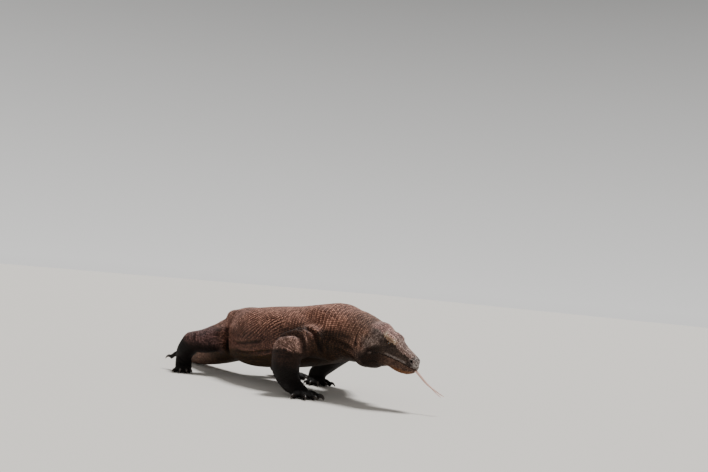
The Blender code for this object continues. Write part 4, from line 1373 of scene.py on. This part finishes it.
# ---- Scale shapes ----
def scale_shape(sides, rings, crown):
    """A closed scale of unit size. Rings give radius and height from its foot up, and crown is its top.

    Returns its corners (along, across, up), its triangles, and each corner's height as a share.
    """
    mesh = bmesh.new()
    top = bmesh.ops.create_circle(mesh, cap_ends=True, segments=sides, radius=1)["verts"][0].link_faces[0]
    for vert in top.verts:
        vert.co = vert.co * rings[0][0] + Vector((0, 0, rings[0][1]))
    for number, (wide, tall) in enumerate(rings[1:]):
        found = bmesh.ops.extrude_face_region(mesh, geom=[top], use_keep_orig=number == 0)["geom"]
        top = next(g for g in found if isinstance(g, bmesh.types.BMFace))
        for vert in top.verts:
            vert.co = Vector((vert.co.x, vert.co.y, 0)).normalized() * wide + Vector((0, 0, tall))
    bmesh.ops.poke(mesh, faces=[top])
    for vert in mesh.verts:
        if math.hypot(vert.co.x, vert.co.y) < 0.01:
            vert.co.z = crown
    bmesh.ops.recalc_face_normals(mesh, faces=mesh.faces)
    bmesh.ops.triangulate(mesh, faces=mesh.faces)
    corners = np.array([(v.co.y, v.co.x, v.co.z) for v in mesh.verts])
    faces = np.array([[v.index for v in f.verts][::-1] for f in mesh.faces])
    mesh.free()
    low, high = corners[:, 2].min(), corners[:, 2].max()
    return corners, faces, (corners[:, 2] - low) / (high - low)


BEAD = scale_shape(6, [(1.0, -0.35), (0.8, 0.62)], 1.0)
SCALE_SHARE = 0.565  # a scale's radius against the distance to its neighbours
HEAD_SCALE_SHARE = 0.61
SCALE_LEAN = 0.1  # how much each scale's hind edge stands up
SCALE_HEIGHT = 0.2  # of a bead, against the distance to its neighbours
HEIGHT_SPREAD = (0.85, 0.3)  # the least share of that height, and how much more some scales have
NEIGHBOURS = 6
WIDE_GAP = 1.45  # a gap to a neighbour counts up to this many times the pitch
ROOT_PATCH = 0.003  # the size of each scale's patch on the coat's map
CHART_MARGIN = 0.02  # round each chart in its cell of the map


def neighbour_gaps(roots):
    """The mean distance from each root to those around it."""
    tree = tree_of([root.place for root in roots])
    found = []
    for root in roots:
        gaps = [min(far, root.pitch * WIDE_GAP) for _, _, far in tree.find_n(root.place, NEIGHBOURS + 1)[1:]]
        found.append(sum(gaps) / len(gaps))
    return np.array(found)


def chart_places(roots):
    """Each root's place on a map of the unit square, in which each chart of the unwrapped skin has a cell."""
    charts = sorted({root.chart for root in roots})
    across = math.ceil(math.sqrt(len(charts)))
    names = np.array([root.chart for root in roots])
    spots = np.array([root.spot for root in roots])
    for number, chart in enumerate(charts):
        inside = names == chart
        low, high = spots[inside].min(0), spots[inside].max(0)
        cell = np.array([number % across, number // across])
        share = (spots[inside] - low) / np.maximum(high - low, 1e-6)
        spots[inside] = (cell + CHART_MARGIN + (1 - 2 * CHART_MARGIN) * share) / across
    return spots


def make_coat_piece(name, roots, gaps, heights, marks):
    """Joins one copy of the scale for each root into a mesh, with its map and attributes."""
    shape, faces, share = BEAD
    count, each = len(roots), len(shape)
    place = np.array([root.place for root in roots])
    normal = np.array([root.normal for root in roots])
    back = np.array([root.back for root in roots])
    across = np.cross(normal, back)
    on_head = np.array([root.chart == "head" for root in roots])
    radius = gaps * np.where(on_head, HEAD_SCALE_SHARE, SCALE_SHARE)
    up = shape[None, :, 2] * heights[:, None] + shape[None, :, 0] * radius[:, None] * SCALE_LEAN
    corners = (
        place[:, None]
        + back[:, None] * (shape[None, :, 0] * radius[:, None])[:, :, None]
        + across[:, None] * (shape[None, :, 1] * radius[:, None])[:, :, None]
        + normal[:, None] * up[:, :, None]
    )
    corners[:, :, 2] = np.maximum(corners[:, :, 2], 0.0)
    data = bpy.data.meshes.new(name)
    data.vertices.add(count * each)
    data.vertices.foreach_set("co", corners.ravel())
    loops = (faces[None] + (np.arange(count) * each)[:, None, None]).ravel()
    data.loops.add(len(loops))
    data.loops.foreach_set("vertex_index", loops)
    data.polygons.add(len(loops) // 3)
    data.polygons.foreach_set("loop_start", np.arange(0, len(loops), 3))
    data.update(calc_edges=True)
    spots = chart_places(roots)[:, None] + shape[None, :, :2] * ROOT_PATCH / 2
    layer = data.uv_layers.new(name="OFBake")
    layer.uv.foreach_set("vector", spots.reshape(-1, 2)[loops].ravel())
    write_attribute(data, "crown", np.tile(share, count))
    for mark, values in marks.items():
        values = np.repeat(values, each, axis=0)
        write_attribute(data, mark, with_ribs(values, corners.reshape(-1, 3)) if mark == "fold_shading" else values)
    obj = bpy.data.objects.new(name, data)
    bpy.context.scene.collection.objects.link(obj)
    return obj


def write_attribute(data, name, values):
    """Writes one number, or one linear colour, for each vertex."""
    if values.ndim == 1:
        data.attributes.new(name, "FLOAT", "POINT").data.foreach_set("value", values.astype(np.float32))
    else:
        colours = np.column_stack([values, np.ones(len(values))]).astype(np.float32)
        data.attributes.new(name, "FLOAT_COLOR", "POINT").data.foreach_set("color", colours.ravel())


# ---- Markings, with the painted shade and highlights of folds and of some zones ----
# noise, in cells for each metre
PATCH_SCALE = 34  # patches of wear, about 30 mm across
SPECK_SCALE = 105  # specks over a scale or two, about 10 mm
GRAIN_SCALE = 900  # grain of the horn, about 1 mm
PATCH_STRENGTH = 1.3
SPECK_STRENGTH = 1.45
MOTTLE_START = -0.62  # less than this much noise leaves a crown dark
CROWN_EDGE = 1.7  # how closely the paler colour keeps to the top of a scale
WEAR_LEAST = 0.3  # of a scale's crown that is hardly worn
WEAR_RANGE = 0.85  # how much more of it there is on one that is worn most
# painted light on folds: their crests are painted paler, and their depths darker towards a near-black brown
CREST_HIGHLIGHT_STRENGTH = 1.05  # how much paler the crests of folds are
FOLD_SHADE_STRENGTH = 0.55  # how much darker their depths are
FOLD_SHADE_COLOUR = "#140905"
RELIEF_DEPTH = 0.006  # of a fold that is drawn fully dark
FACE_RELIEF = 0.0035  # the same on the head
# the wrinkles round joints and on the flank get painted shade and highlights too, this strongly
CUFF_SHADE = 0.4  # of the wrinkles round wrists and elbows, against folds
RIB_SHADE = 0.9  # of the wrinkles of the flank
# the colour between the scales, and the colour of their worn crowns; later zones lie over earlier ones
ZONE_COLOURS = {
    "back": ("#3a150b", "#f0b197"),
    # the flank's own grey-brown, painted darker still as the shade on the lower trunk
    "flank_with_shade": ("#1e0d07", "#936657"),
    # the belly's own ochre brown, darkened as painted shade
    "belly_with_shade": ("#170b03", "#4f3514"),
    "rump": ("#381910", "#dfaa97"),
    "tail": ("#231410", "#9b7762"),
    "nape": ("#2b140c", "#bf917b"),
    "breast": ("#150a05", "#604536"),
    # painted shade under the neck
    "neck_underside_shade": ("#130803", "#46301f"),
    # painted shade behind the shoulder
    "hollow": ("#1c0d08", "#6b4a3c"),
    "shoulder": ("#190b07", "#6c4e40"),
    "thigh": ("#190b0a", "#b38681"),
    # painted shade on the lower half of the thigh
    "thigh_underside_shade": ("#0b0403", "#2b1913"),
    # the legs' own dark grey-brown, painted near black as shade
    "lower_leg_with_shade": ("#080403", "#1e1512"),
    # painted highlight: the right elbow's cap is paler, as if lit
    "elbow_highlight": ("#2c150e", "#e8b9a8"),
    "knuckles": ("#0a0605", "#241a15"),
    "cheek": ("#24140f", "#bba398"),
    "crown": ("#2c0e09", "#f8c3b4"),
    "bridge": ("#38180f", "#ffdccd"),
    "brow": ("#a1775d", "#fff4dc"),
    "mask": ("#1b110d", "#6c594e"),
    "snout": ("#1c0e0b", "#fff0e8"),
    "jaw": ("#21130d", "#856657"),
    "jaw_corner": ("#170c07", "#5b4336"),
    "jaw_edge": ("#43210c", "#a87246"),
    # painted shade under the throat and jaw
    "throat": ("#0f0704", "#352216"),
    "lip": ("#4f423d", "#efe0d8"),
    # painted highlight on the upper rim of the nostril
    "nostril_highlight": ("#6a534b", "#fff0e8"),
    # painted shade under the nostril
    "muzzle_shade": ("#150c09", "#4d3d36"),
    # painted shade inside the nostril
    "nostril_shade": ("#050303", "#120a08"),
}
# painted shade behind the shoulder: its middle and its reach each way
SHADE_BEHIND_SHOULDER = ((-0.115, -0.185, 0.222), (0.085, 0.07, 0.042))
ELBOW_EDGES = [  # along the body: how far out the bent elbow begins, and the level of its lower edge
    (-0.095, -0.264, 0.164),
    (-0.067, -0.254, 0.17),
    (-0.042, -0.24, 0.173),
    (-0.024, -0.229, 0.171),
    (-0.008, -0.221, 0.164),
    (0.003, -0.213, 0.15),
    (0.014, -0.206, 0.136),
]
# along the head, and how far over the mouth line the pale lip lies
LIP_TOPS = ((0.0, 0.03, 0.09, 0.12), (0.0085, 0.0065, 0.005, 0.004))
# along the head, and the level of the jaw's lower edge
JAW_FLOOR = ((0.0, 0.043, 0.07, 0.095, 0.118), (-0.086, -0.073, -0.0675, -0.061, -0.052))


def head_zones(h, normals, points):
    """How much each place belongs to each zone of the head's and neck's colouring; the neck's underside, the
    throat, the muzzle and the nostril are painted shade, and the nostril's upper rim a painted highlight.
    """
    ahead, side, level = h.T
    left = np.abs(side)
    x, _, z = points.T
    on_head = ramp(ahead + 0.01 * np.sin(95 * level), -0.112, -0.056) * ramp(level, THROAT_LEVEL, -0.17)
    over = over_mask(h) + 0.0012 * np.sin(410 * ahead) + 0.0008 * np.sin(730 * ahead + 200 * level)
    upper = ramp(over, -0.0012, 0.0015)
    lip_gap = mouth_gap(h)
    streak = bell(lip_gap, np.interp(ahead, *LIP_TOPS), 0.0032) * between(ahead, 0.004, 0.018, 0.094, 0.11)
    under_lip = ramp(lip_gap, 0.0005, -0.001)
    face = on_head * (1 - upper) * ramp(lip_gap, -0.001, 0.001)
    below = under_lip * ramp(ahead, -0.04, -0.01)
    # painted shade where the lower neck's skin faces sideways and down
    neck = ramp(ahead, -0.36, -0.28) * ramp(level, -0.11, -0.15) * ramp(normals[:, 2], 0.3, 0.0)
    brow = between(ahead, -0.042, -0.026, 0.016, 0.032) * ramp(left, 0.014, 0.022)
    low = ramp(level - 0.25 * ahead, -0.062, -0.076)
    jaw_foot = ramp(level - np.interp(ahead, *JAW_FLOOR), 0.003, -0.003)
    nose = from_pit(h, NOSTRIL, 0.0062, 0.0044) + FAR_OFF * (left < 0.012)
    return {
        "nape": ramp(ahead, -0.25, -0.13),
        "breast": between(x, 0.018, 0.04, 0.105, 0.215) * ramp(z, 0.272, 0.24),
        "neck_underside_shade": neck,
        "cheek": on_head,
        "crown": on_head * upper,
        "bridge": on_head * upper * ramp(ahead, -0.01, 0.03),
        "brow": upper * ramp(over, 0.017, 0.008) * brow,
        "mask": face * between(ahead, -0.04, -0.012, 0.098, 0.112),
        "snout": on_head * ramp(ahead, 0.096, 0.112) * ramp(lip_gap, -0.002, 0.001),
        "jaw": below,
        "jaw_corner": on_head * under_lip * between(ahead, -0.06, -0.03, 0.006, 0.034),
        # painted shade on skin that faces down, and on all skin low under the head
        "throat": on_head * np.maximum(ramp(normals[:, 2], -0.1, -0.5), low) * ramp(ahead, 0.004, -0.02),
        "jaw_edge": below * jaw_foot * ramp(ahead, 0.02, 0.07),
        "lip": streak * (0.74 + 0.26 * np.sin(520 * ahead) * np.sin(230 * ahead + 1)),
        # painted highlight on the upper rim of the nostril
        "nostril_highlight": bell(nose, 1.6, 0.38) * ramp(level - NOSTRIL[2], -0.006, 0.004),
        # painted shade under the nostril
        "muzzle_shade": 0.9 * on_head * ramp(from_pit(h, MUZZLE_SHADE, 0.014, 0.008), 1.3, 0.6),
        # painted shade inside the nostril
        "nostril_shade": ramp(nose, 1.2, 0.95),
    }


def elbow_cap(points):
    """How much each place belongs to the right elbow's cap, painted pale as a highlight, and to the dark
    forearm under it.
    """
    along, inner, low = np.array(ELBOW_EDGES).T
    x, y, z = points.T
    outside = ramp(y - np.interp(x, along, inner), 0.004, -0.004)
    over = ramp(z - np.interp(x, along, low) + 0.0025 * np.sin(310 * x), -0.006, 0.003)
    return outside * over, 1 - over


def zones_at(points, normals):
    """How much each place belongs to each zone of the animal's colouring; some of these zones are painted
    shade, and one a painted highlight.
    """
    upper, elbow_highlight, thigh, lower, knuckles = np.zeros((5, len(points)))
    x, _, z = points.T
    for leg in LEGS.values():
        course = smooth_rows([*(leg[joint][:3] for joint in JOINTS), leg["ball"]], 0.02)
        gap, share = course_gap(points, course)
        close = ramp(gap, 0.095, 0.075)
        start, sharp = (0.44, 0.12) if leg["hind"] else (0.36, 0.08)
        whole = close * ramp(share, 0.04, 0.2)
        if leg["hind"]:
            thigh = np.maximum(thigh, whole)
        else:
            upper = np.maximum(upper, whole)
        if leg is LEGS["right_fore"]:
            cap, under = elbow_cap(points)
            # painted highlight on the right elbow's cap
            elbow_highlight = close * cap
            # painted shade: the right forearm is darker towards the bottom
            lower = np.maximum(lower, close * under * (0.45 + 0.55 * ramp(z, 0.14, 0.085)))
        else:
            lower = np.maximum(lower, close * ramp(share, start, start + sharp))
        far = np.linalg.norm(points[:, :2] - np.array(leg["ball"][:2]), axis=1)
        # the feet take the same dark colour and its painted shade
        foot = ramp(far, 0.15, 0.125) * ramp(z, 0.075, 0.055)
        lower = np.maximum(lower, foot)
        knuckles = np.maximum(knuckles, foot * ramp(normals[:, 2], 0.25, 0.85) * ramp(far, 0.02, 0.05))
    tail_line = np.array([row[:3] for row in tail_rows()])[::-1]
    tail_gap, tail_share = course_gap(points, tail_line)
    tail = ramp(tail_gap, 0.13, 0.11) * ramp(tail_share, 0.02, 0.25)
    return {
        # painted shade: the trunk darker below its upper part
        "flank_with_shade": ramp(z, 0.262, 0.185) * (1 - tail),
        # painted shade on skin that faces down, and low on the trunk
        "belly_with_shade": np.maximum(ramp(normals[:, 2], -0.3, -0.72), ramp(z, 0.135, 0.105) * (1 - tail)),
        "rump": ramp(x, -0.42, -0.52) * ramp(z, 0.19, 0.22) * (1 - tail),
        "tail": tail,
        # painted shade behind the shoulder
        "hollow": spot_lift(on_right(points)[0], *SHADE_BEHIND_SHOULDER, 1),
        "shoulder": upper,
        "thigh": thigh,
        # painted shade on the lower half of the thigh
        "thigh_underside_shade": thigh * ramp(z, 0.152, 0.108),
        "lower_leg_with_shade": lower,
        "elbow_highlight": elbow_highlight,
        "knuckles": knuckles,
        **head_zones(in_head(points), normals, points),
    }


def marked_colours(points, normals):
    """The colours between scales and on their crowns at each place, as two lists of linear colours."""
    zones = zones_at(points, normals)
    pair = [np.tile(linear(code), (len(points), 1)) for code in ZONE_COLOURS["back"]]
    for zone, codes in ZONE_COLOURS.items():
        if zone == "back":
            continue
        share = zones[zone][:, None]
        pair = [old * (1 - share) + np.array(linear(code)) * share for old, code in zip(pair, codes)]
    return pair


def relief_shade(points):
    """-1 in the depth of a fold and 1 on the crest of one, for the shade and highlights painted on folds."""
    right, side = on_right(points)
    wrinkles = cuff_wrinkles(points) / CUFF_HEIGHT * CUFF_SHADE
    folds = course_folds(right, side) / RELIEF_DEPTH + head_folds(in_head(points)) / FACE_RELIEF
    return np.clip(folds + wrinkles, -1, 1)


def with_ribs(fold_shading, points):
    """The same with the narrow wrinkles of the flank, which cross single scales: their crests are painted
    lighter and their troughs darker.
    """
    return np.clip(fold_shading + RIB_SHADE * rib_wrinkles(on_right(points)[0]) / RIB_HEIGHT, -1, 1)


def scaled_skin_material():
    """Beaded monitor skin: dark between the scales, pale on worn crowns, mottled in patches, with painted
    highlights on the crests of folds and painted shade in their depths.
    """
    hide, tree, shader = new_material("beaded monitor skin")
    place = add_node(tree, "TexCoord", output="Object")
    patches, specks, grain = (
        add_node(tree, "TexNoise", {"Vector": place, "Scale": scale, "Detail": detail, "Roughness": 0.6})
        for scale, detail in ((PATCH_SCALE, 3), (SPECK_SCALE, 3), (GRAIN_SCALE, 2))
    )
    crown = add_node(tree, "Attribute", output="Fac", attribute_name="crown")
    chance = add_node(tree, "Attribute", output="Fac", attribute_name="chance")
    fold_shading = add_node(tree, "Attribute", output="Fac", attribute_name="fold_shading")
    ground = add_node(tree, "Attribute", output="Color", attribute_name="ground")
    fleck = add_node(tree, "Attribute", output="Color", attribute_name="fleck")
    crown = add_node(tree, "Math", [crown, CROWN_EDGE], operation="POWER")
    worn = add_node(tree, "Math", [chance, WEAR_RANGE, WEAR_LEAST], operation="MULTIPLY_ADD")
    mottle = add_node(tree, "Math", [patches, PATCH_STRENGTH, MOTTLE_START], operation="MULTIPLY_ADD")
    mottle = add_node(tree, "Math", [specks, SPECK_STRENGTH, mottle], operation="MULTIPLY_ADD")
    strength = add_node(tree, "Math", [crown, worn], operation="MULTIPLY")
    strength = add_node(tree, "Math", [strength, mottle], operation="MULTIPLY")
    # painted highlight on the crests of folds
    crest_highlight = add_node(tree, "Math", [fold_shading, CREST_HIGHLIGHT_STRENGTH, 1.0], operation="MULTIPLY_ADD")
    strength = add_node(tree, "Math", [strength, crest_highlight], operation="MULTIPLY")
    colour = add_node(tree, "Mix", {0: strength, 6: ground, 7: fleck}, 2, data_type="RGBA")
    # painted shade in the depths of folds
    depth = add_node(tree, "Math", [fold_shading, -FOLD_SHADE_STRENGTH], operation="MULTIPLY")
    colour = add_node(tree, "Mix", {0: depth, 6: colour, 7: FOLD_SHADE_COLOUR}, 2, data_type="RGBA")
    rough = add_node(tree, "Math", [grain, 0.3, 0.4], operation="MULTIPLY_ADD")
    bump = add_node(tree, "Bump", {"Height": grain, "Strength": 0.25, "Distance": 0.0004})
    shine = {"Roughness": rough, "Specular IOR Level": 0.2, "Normal": bump}
    feed(tree, shader, {"Base Color": colour, **shine})
    return hide


# ---- Eyes, claws and tongue ----
CORNEA = (0.62, 0.05)  # its radius and how far it swells, as shares of the eyeball's radius
EYE_COLOURS = [  # from the middle of the pupil outwards, as a share of a quarter turn
    (0.0, "#020202"),
    (0.235, "#020202"),
    (0.262, "#8a5a24"),
    (0.33, "#4a2c14"),
    (0.52, "#24140c"),
    (0.6, "#0b0706"),
    (0.8, "#3a2a22"),
]
IRIS_SCALE = 700  # cells of noise for each metre: flecks of the iris, under 2 mm
IRIS_NOISE = 0.1  # how far the rings of the iris wander
CLAW_STEPS = 16
CLAW_RISE = 16  # degrees over level at the root
CLAW_BEND = 96  # degrees that the claw turns down by
CLAW_ROOT = (0.0066, 0.0005)  # half its depth at the root and at the point
CLAW_FLAT = 0.72  # its width against its depth
CLAW_CLEARANCE = 0.0008  # from its point to the floor
STREAK_SCALE = 420  # cells of noise for each metre: growth lines of the horn, over 2 mm apart
VEIN_SCALE = 160  # the same: veins of the tongue, about 6 mm apart
TONGUE_VOXEL = 0.0006
TONGUE_SMOOTHING = 4  # passes
# how far out and how far down, to the side, half the width and half the thickness
TONGUE_STEM = [
    (0, 0, 0, 0.0066, 0.0042),
    (0.03, 0.024, 0, 0.0062, 0.004),
    (0.062, 0.05, 0, 0.0054, 0.0035),
    (0.096, 0.07, 0, 0.0044, 0.0028),
]
TONGUE_TINE = [
    (0.09, 0.067, 0.0022, 0.0024, 0.0024),
    (0.108, 0.078, 0.0055, 0.0021, 0.0021),
    (0.13, 0.089, 0.0105, 0.0011, 0.0011),
]


def make_eye(side):
    """An eyeball whose pole faces the way that it looks, with a slightly swollen cornea."""
    centre, gaze, ahead, _ = eye_frame(side)
    mesh = bmesh.new()
    bmesh.ops.create_uvsphere(mesh, u_segments=48, v_segments=32, radius=EYE_RADIUS)
    for vert in mesh.verts:
        from_pole = math.hypot(vert.co.x, vert.co.y) / EYE_RADIUS
        if vert.co.z > 0:
            vert.co *= 1 + CORNEA[1] * max(0.0, 1 - (from_pole / CORNEA[0]) ** 2)
    turn = Matrix((ahead, gaze.cross(ahead), gaze)).transposed().to_4x4()
    bmesh.ops.transform(mesh, matrix=Matrix.Translation(centre) @ turn, verts=mesh.verts)
    bmesh.ops.recalc_face_normals(mesh, faces=mesh.faces)
    eye = new_object("eyeball_right" if side < 0 else "eyeball_left", mesh)
    away = corners_of(eye.data) - np.array(centre)
    away /= np.linalg.norm(away, axis=1)[:, None]
    write_attribute(eye.data, "from_pupil", np.degrees(np.arccos(np.clip(away @ np.array(gaze), -1, 1))) / 90)
    return eye


def eye_material():
    """A wet monitor eye: a black pupil with a thin amber edge and a dark brown iris, under clear tears."""
    eye, tree, shader = new_material("wet reptile eye")
    away = add_node(tree, "Attribute", output="Fac", attribute_name="from_pupil")
    place = add_node(tree, "TexCoord", output="Object")
    flecks = add_node(tree, "TexNoise", {"Vector": place, "Scale": IRIS_SCALE, "Detail": 3})
    away = add_node(tree, "Math", [away, IRIS_NOISE / 2], operation="SUBTRACT")
    noisy = add_node(tree, "Math", [flecks, IRIS_NOISE, away], operation="MULTIPLY_ADD")
    rings = add_node(tree, "ValToRGB", [noisy])
    stops = rings.node.color_ramp.elements
    stops[1].position = EYE_COLOURS[-1][0]
    for where, _ in EYE_COLOURS[1:-1]:
        stops.new(where)
    for stop, (where, code) in zip(stops, EYE_COLOURS):
        stop.position = where
        stop.color = (*linear(code), 1)
    tears = {"Coat Weight": 1.0, "Coat Roughness": 0.02, "IOR": 1.38}
    feed(tree, shader, {"Base Color": rings, "Roughness": 0.12, **tears})
    return eye


def make_claw(points, direction):
    """A curved, sharp, slightly flattened claw that leaves the toe's end and bends down to the floor."""
    start = points[2] + direction * TOE_RADIUS * 0.1 + Vector((0, 0, TOE_RADIUS * 0.3))
    thickest, thinnest = CLAW_ROOT
    rows = []
    for i in range(CLAW_STEPS + 1):
        share = i / CLAW_STEPS
        bend = math.radians(CLAW_RISE - CLAW_BEND * share)
        thick = thickest * (1 - share**1.4) ** 0.85 + thinnest
        rows.append((*start, thick * CLAW_FLAT, thick))
        step = direction * math.cos(bend) + Vector((0, 0, math.sin(bend)))
        start = start + step * CLAW_LENGTH / (CLAW_STEPS + 1)
    lift = max(0.0, CLAW_CLEARANCE - min(row[2] - row[4] for row in rows))
    rows = [(x, y, z + lift * i / CLAW_STEPS, wide, high) for i, (x, y, z, wide, high) in enumerate(rows)]
    side, over = section_frames(np.array(rows)[:, :3], np.array(direction.cross(Vector((0, 0, 1)))))
    rings = []
    for (*centre, wide, high), across, up in zip(rows, side, over):
        rings.append(oval(np.array(centre), across, up, wide, high, high * 0.9, sides=14))
    claw = new_loft(rings)
    share = np.linalg.norm(corners_of(claw.data) - np.array(rows[0][:3]), axis=1) / CLAW_LENGTH
    write_attribute(claw.data, "along", np.clip(share, 0, 1))
    return claw


def claw_material():
    """Claw horn: nearly black and smooth at the root, with fine growth lines, worn grey-brown at the tip."""
    horn, tree, shader = new_material("claw horn")
    along = add_node(tree, "Attribute", output="Fac", attribute_name="along")
    place = add_node(tree, "TexCoord", output="Object")
    noise = {"Vector": place, "Scale": STREAK_SCALE, "Detail": 4, "Roughness": 0.65}
    streaks = add_node(tree, "TexNoise", noise)
    along = add_node(tree, "Math", [along, 0.45], operation="SUBTRACT")
    worn = add_node(tree, "Math", [streaks, 0.7, along], operation="MULTIPLY_ADD")
    colour = add_node(tree, "Mix", {0: worn, 6: "#120c09", 7: "#4c4037"}, 2, data_type="RGBA")
    rough = add_node(tree, "Math", [streaks, 0.25, 0.22], operation="MULTIPLY_ADD")
    bump = add_node(tree, "Bump", {"Height": streaks, "Strength": 0.3, "Distance": 0.0003})
    feed(tree, shader, {"Base Color": colour, "Roughness": rough, "Normal": bump})
    return horn


def make_tongue():
    """A long flat tongue that hangs from the closed lips and ends in two thin tines."""
    forward, left, _ = head_axes()
    ahead = Vector((forward.x, forward.y, 0)).normalized()
    start = at_head(0.11, 0, MOUTH_LEVEL - 0.001)

    def length_of_tongue(rows, side, sides, step):
        """The stem, or the tine of one side."""
        placed = []
        for out, drop, aside, wide, high in rows:
            place = start + ahead * out - Vector((0, 0, drop)) + left * side * aside
            placed.append((*place, wide, high))
        return limb(placed, left, sides=sides, step=step)

    pieces = [length_of_tongue(TONGUE_STEM, 0, 20, 0.004)]
    pieces += [length_of_tongue(TONGUE_TINE, side, 12, 0.003) for side in (-1, 1)]
    return fused(joined("forked_tongue", pieces), TONGUE_VOXEL, TONGUE_SMOOTHING)


def tongue_material():
    """Moist tongue flesh: pale cream pink, ruddier along its veins, under a film of saliva."""
    flesh, tree, shader = new_material("moist tongue flesh")
    place = add_node(tree, "TexCoord", output="Object")
    veins = add_node(tree, "TexNoise", {"Vector": place, "Scale": VEIN_SCALE, "Detail": 4})
    colour = add_node(tree, "Mix", {0: veins, 6: "#ffe0d2", 7: "#dba18f"}, 2, data_type="RGBA")
    saliva = {"Coat Weight": 0.5, "Coat Roughness": 0.15}
    feed(tree, shader, {"Base Color": colour, "Roughness": 0.38, **saliva})
    return flesh


# ---- Assembly ----
BODY_SPLITS = (0.75, 1.25, 1.5, 1.72, 1.94, 2.14)  # from the tip of the tail to where the coat's pieces meet
WEAR_SPREAD = 1.3  # few scales are worn pale, and many hardly
# along the body, and how much paler each second row of scales is there
ROW_TONE = ((-0.7, -0.55, -0.1, 0.02, 0.2), (0.1, 0.2, 0.24, 0.34, 0.28))


def place_piece(obj, material, slot, *nodes):
    """Carries a finished piece to the solids' place, and hides the solids that it stands for."""
    obj.data.transform(Matrix.Translation(HOME))
    obj.data.polygons.foreach_set("use_smooth", np.ones(len(obj.data.polygons), bool))
    obj.data.materials.clear()
    obj.data.materials.append(material)
    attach(obj, "root")
    if nodes:
        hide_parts(*nodes)


def flesh_nodes():
    """The names of the solids that the skin stands for."""
    other = ("claw", "eye", "tongue")
    return [name for name in frame["nodes"] if not any(word in name for word in other)]


def marks_at(points, normals):
    """The markings of skin or scales at each place: both colours, and how high it lies in the folds, which
    sets the shade and highlights painted on them.
    """
    ground, fleck = marked_colours(points, normals)
    return {"ground": ground, "fleck": fleck, "fold_shading": relief_shade(points)}


def dress_skin(skin, hide):
    """The skin's own marks: it lies between the scales, so it has no crowns."""
    points = corners_of(skin.data)
    write_attribute(skin.data, "crown", np.zeros(len(points)))
    write_attribute(skin.data, "chance", np.full(len(points), 0.5))
    for mark, values in marks_at(points, normals_of(skin.data)).items():
        write_attribute(skin.data, mark, with_ribs(values, points) if mark == "fold_shading" else values)
    place_piece(skin, hide, "body_skin", *flesh_nodes())


def open_skin(skin, lids):
    """A copy of all that carries scales: the skin without what the lids cover, and the lids' outer faces."""
    mesh = bmesh.new()
    mesh.from_mesh(skin.data)
    middles = np.array([f.calc_center_median() for f in mesh.faces])
    hidden = np.zeros(len(middles), bool)
    for side in (-1, 1):
        hidden |= (round_eye(middles, side) < 0.97) & (in_head(middles)[:, 1] * side > 0.01)
    bmesh.ops.delete(mesh, geom=[f for f, away in zip(mesh.faces, hidden) if away], context="FACES")
    for side, lid in lids.items():
        gaze = eye_frame(side)[1]
        before = set(mesh.faces)
        mesh.from_mesh(lid.data)
        turned = [f for f in mesh.faces if f not in before and f.normal.dot(gaze) < 0.1]
        bmesh.ops.delete(mesh, geom=turned, context="FACES")
    return new_object("open_skin", mesh)


def grow_coat(ground):
    """Roots every scale on the open skin."""
    coat = Coat(surface_of(ground))
    body_rows(coat)
    fill_head(coat, ground)
    for name, leg in LEGS.items():
        toe_rows(coat, name, leg)
        limb_rows(coat, name, leg)
    for share in GAP_SCALES:
        fill_gaps(coat, ground, share)
    bpy.data.objects.remove(ground)
    return coat.roots


def coat_groups(roots):
    """Which roots go in which piece of the coat, so that no piece is too large."""
    groups = {}
    for i, root in enumerate(roots):
        name = "_".join(["scales", *root.chart.split("_")[:2]])
        if root.chart == "body":
            name += f"_{np.searchsorted(BODY_SPLITS, root.spot[0]) + 1}"
        groups.setdefault(name, []).append(i)
    return groups


def dress_coat(roots, hide):
    """Makes the coat's pieces, with the skin's markings and each scale's own height and wear."""
    gaps = neighbour_gaps(roots)
    points = np.array([root.place for root in roots])
    marks = marks_at(points, np.array([root.normal for root in roots]))
    rows = np.array([root.row for root in roots])
    tone = np.interp(points[:, 0], *ROW_TONE) * np.array([root.chart == "body" for root in roots])
    bands = tone * (1 - 2 * (rows % 2))
    marks["chance"] = np.clip(CHANCE.random(len(roots)) ** WEAR_SPREAD + bands, 0, 1)
    least, more = HEIGHT_SPREAD
    heights = gaps * SCALE_HEIGHT * (least + more * CHANCE.random(len(roots)))
    for name, members in coat_groups(roots).items():
        picked = {mark: values[members] for mark, values in marks.items()}
        piece = make_coat_piece(name, [roots[i] for i in members], gaps[members], heights[members], picked)
        place_piece(piece, hide, "leg_skin" if "fore" in name or "hind" in name else "body_skin")


make_camera()
make_light()
make_floor()
hide = scaled_skin_material()
skin = merged_flesh()
refine_body(skin)
sculpt_body(skin)
refine_head(skin)
sculpt_head(skin)
sink_under_coat(skin)
bare_head = surface_of(skin)
lids = {side: make_lids(side, bare_head) for side in (-1, 1)}
roots = grow_coat(open_skin(skin, lids))
dress_coat(roots, hide)
skin = joined("skin", [skin, *lids.values()])
dress_skin(skin, hide)
tears = eye_material()
place_piece(make_eye(-1), tears, "wet_eye", "eye_right")
place_piece(make_eye(1), tears, "wet_eye", "eye_left")
horn = claw_material()
for name, leg in LEGS.items():
    side, end = name.split("_")[0], "foot" if leg["hind"] else "hand"
    for number, points, direction in toe_courses(leg):
        claw = make_claw(points, direction)
        claw.name = f"{side}_{end}_horn_{number}"
        place_piece(claw, horn, "claw_horn", f"{side}_{end}_claw_{number}")
place_piece(make_tongue(), tongue_material(), "moist_tongue", "tongue")
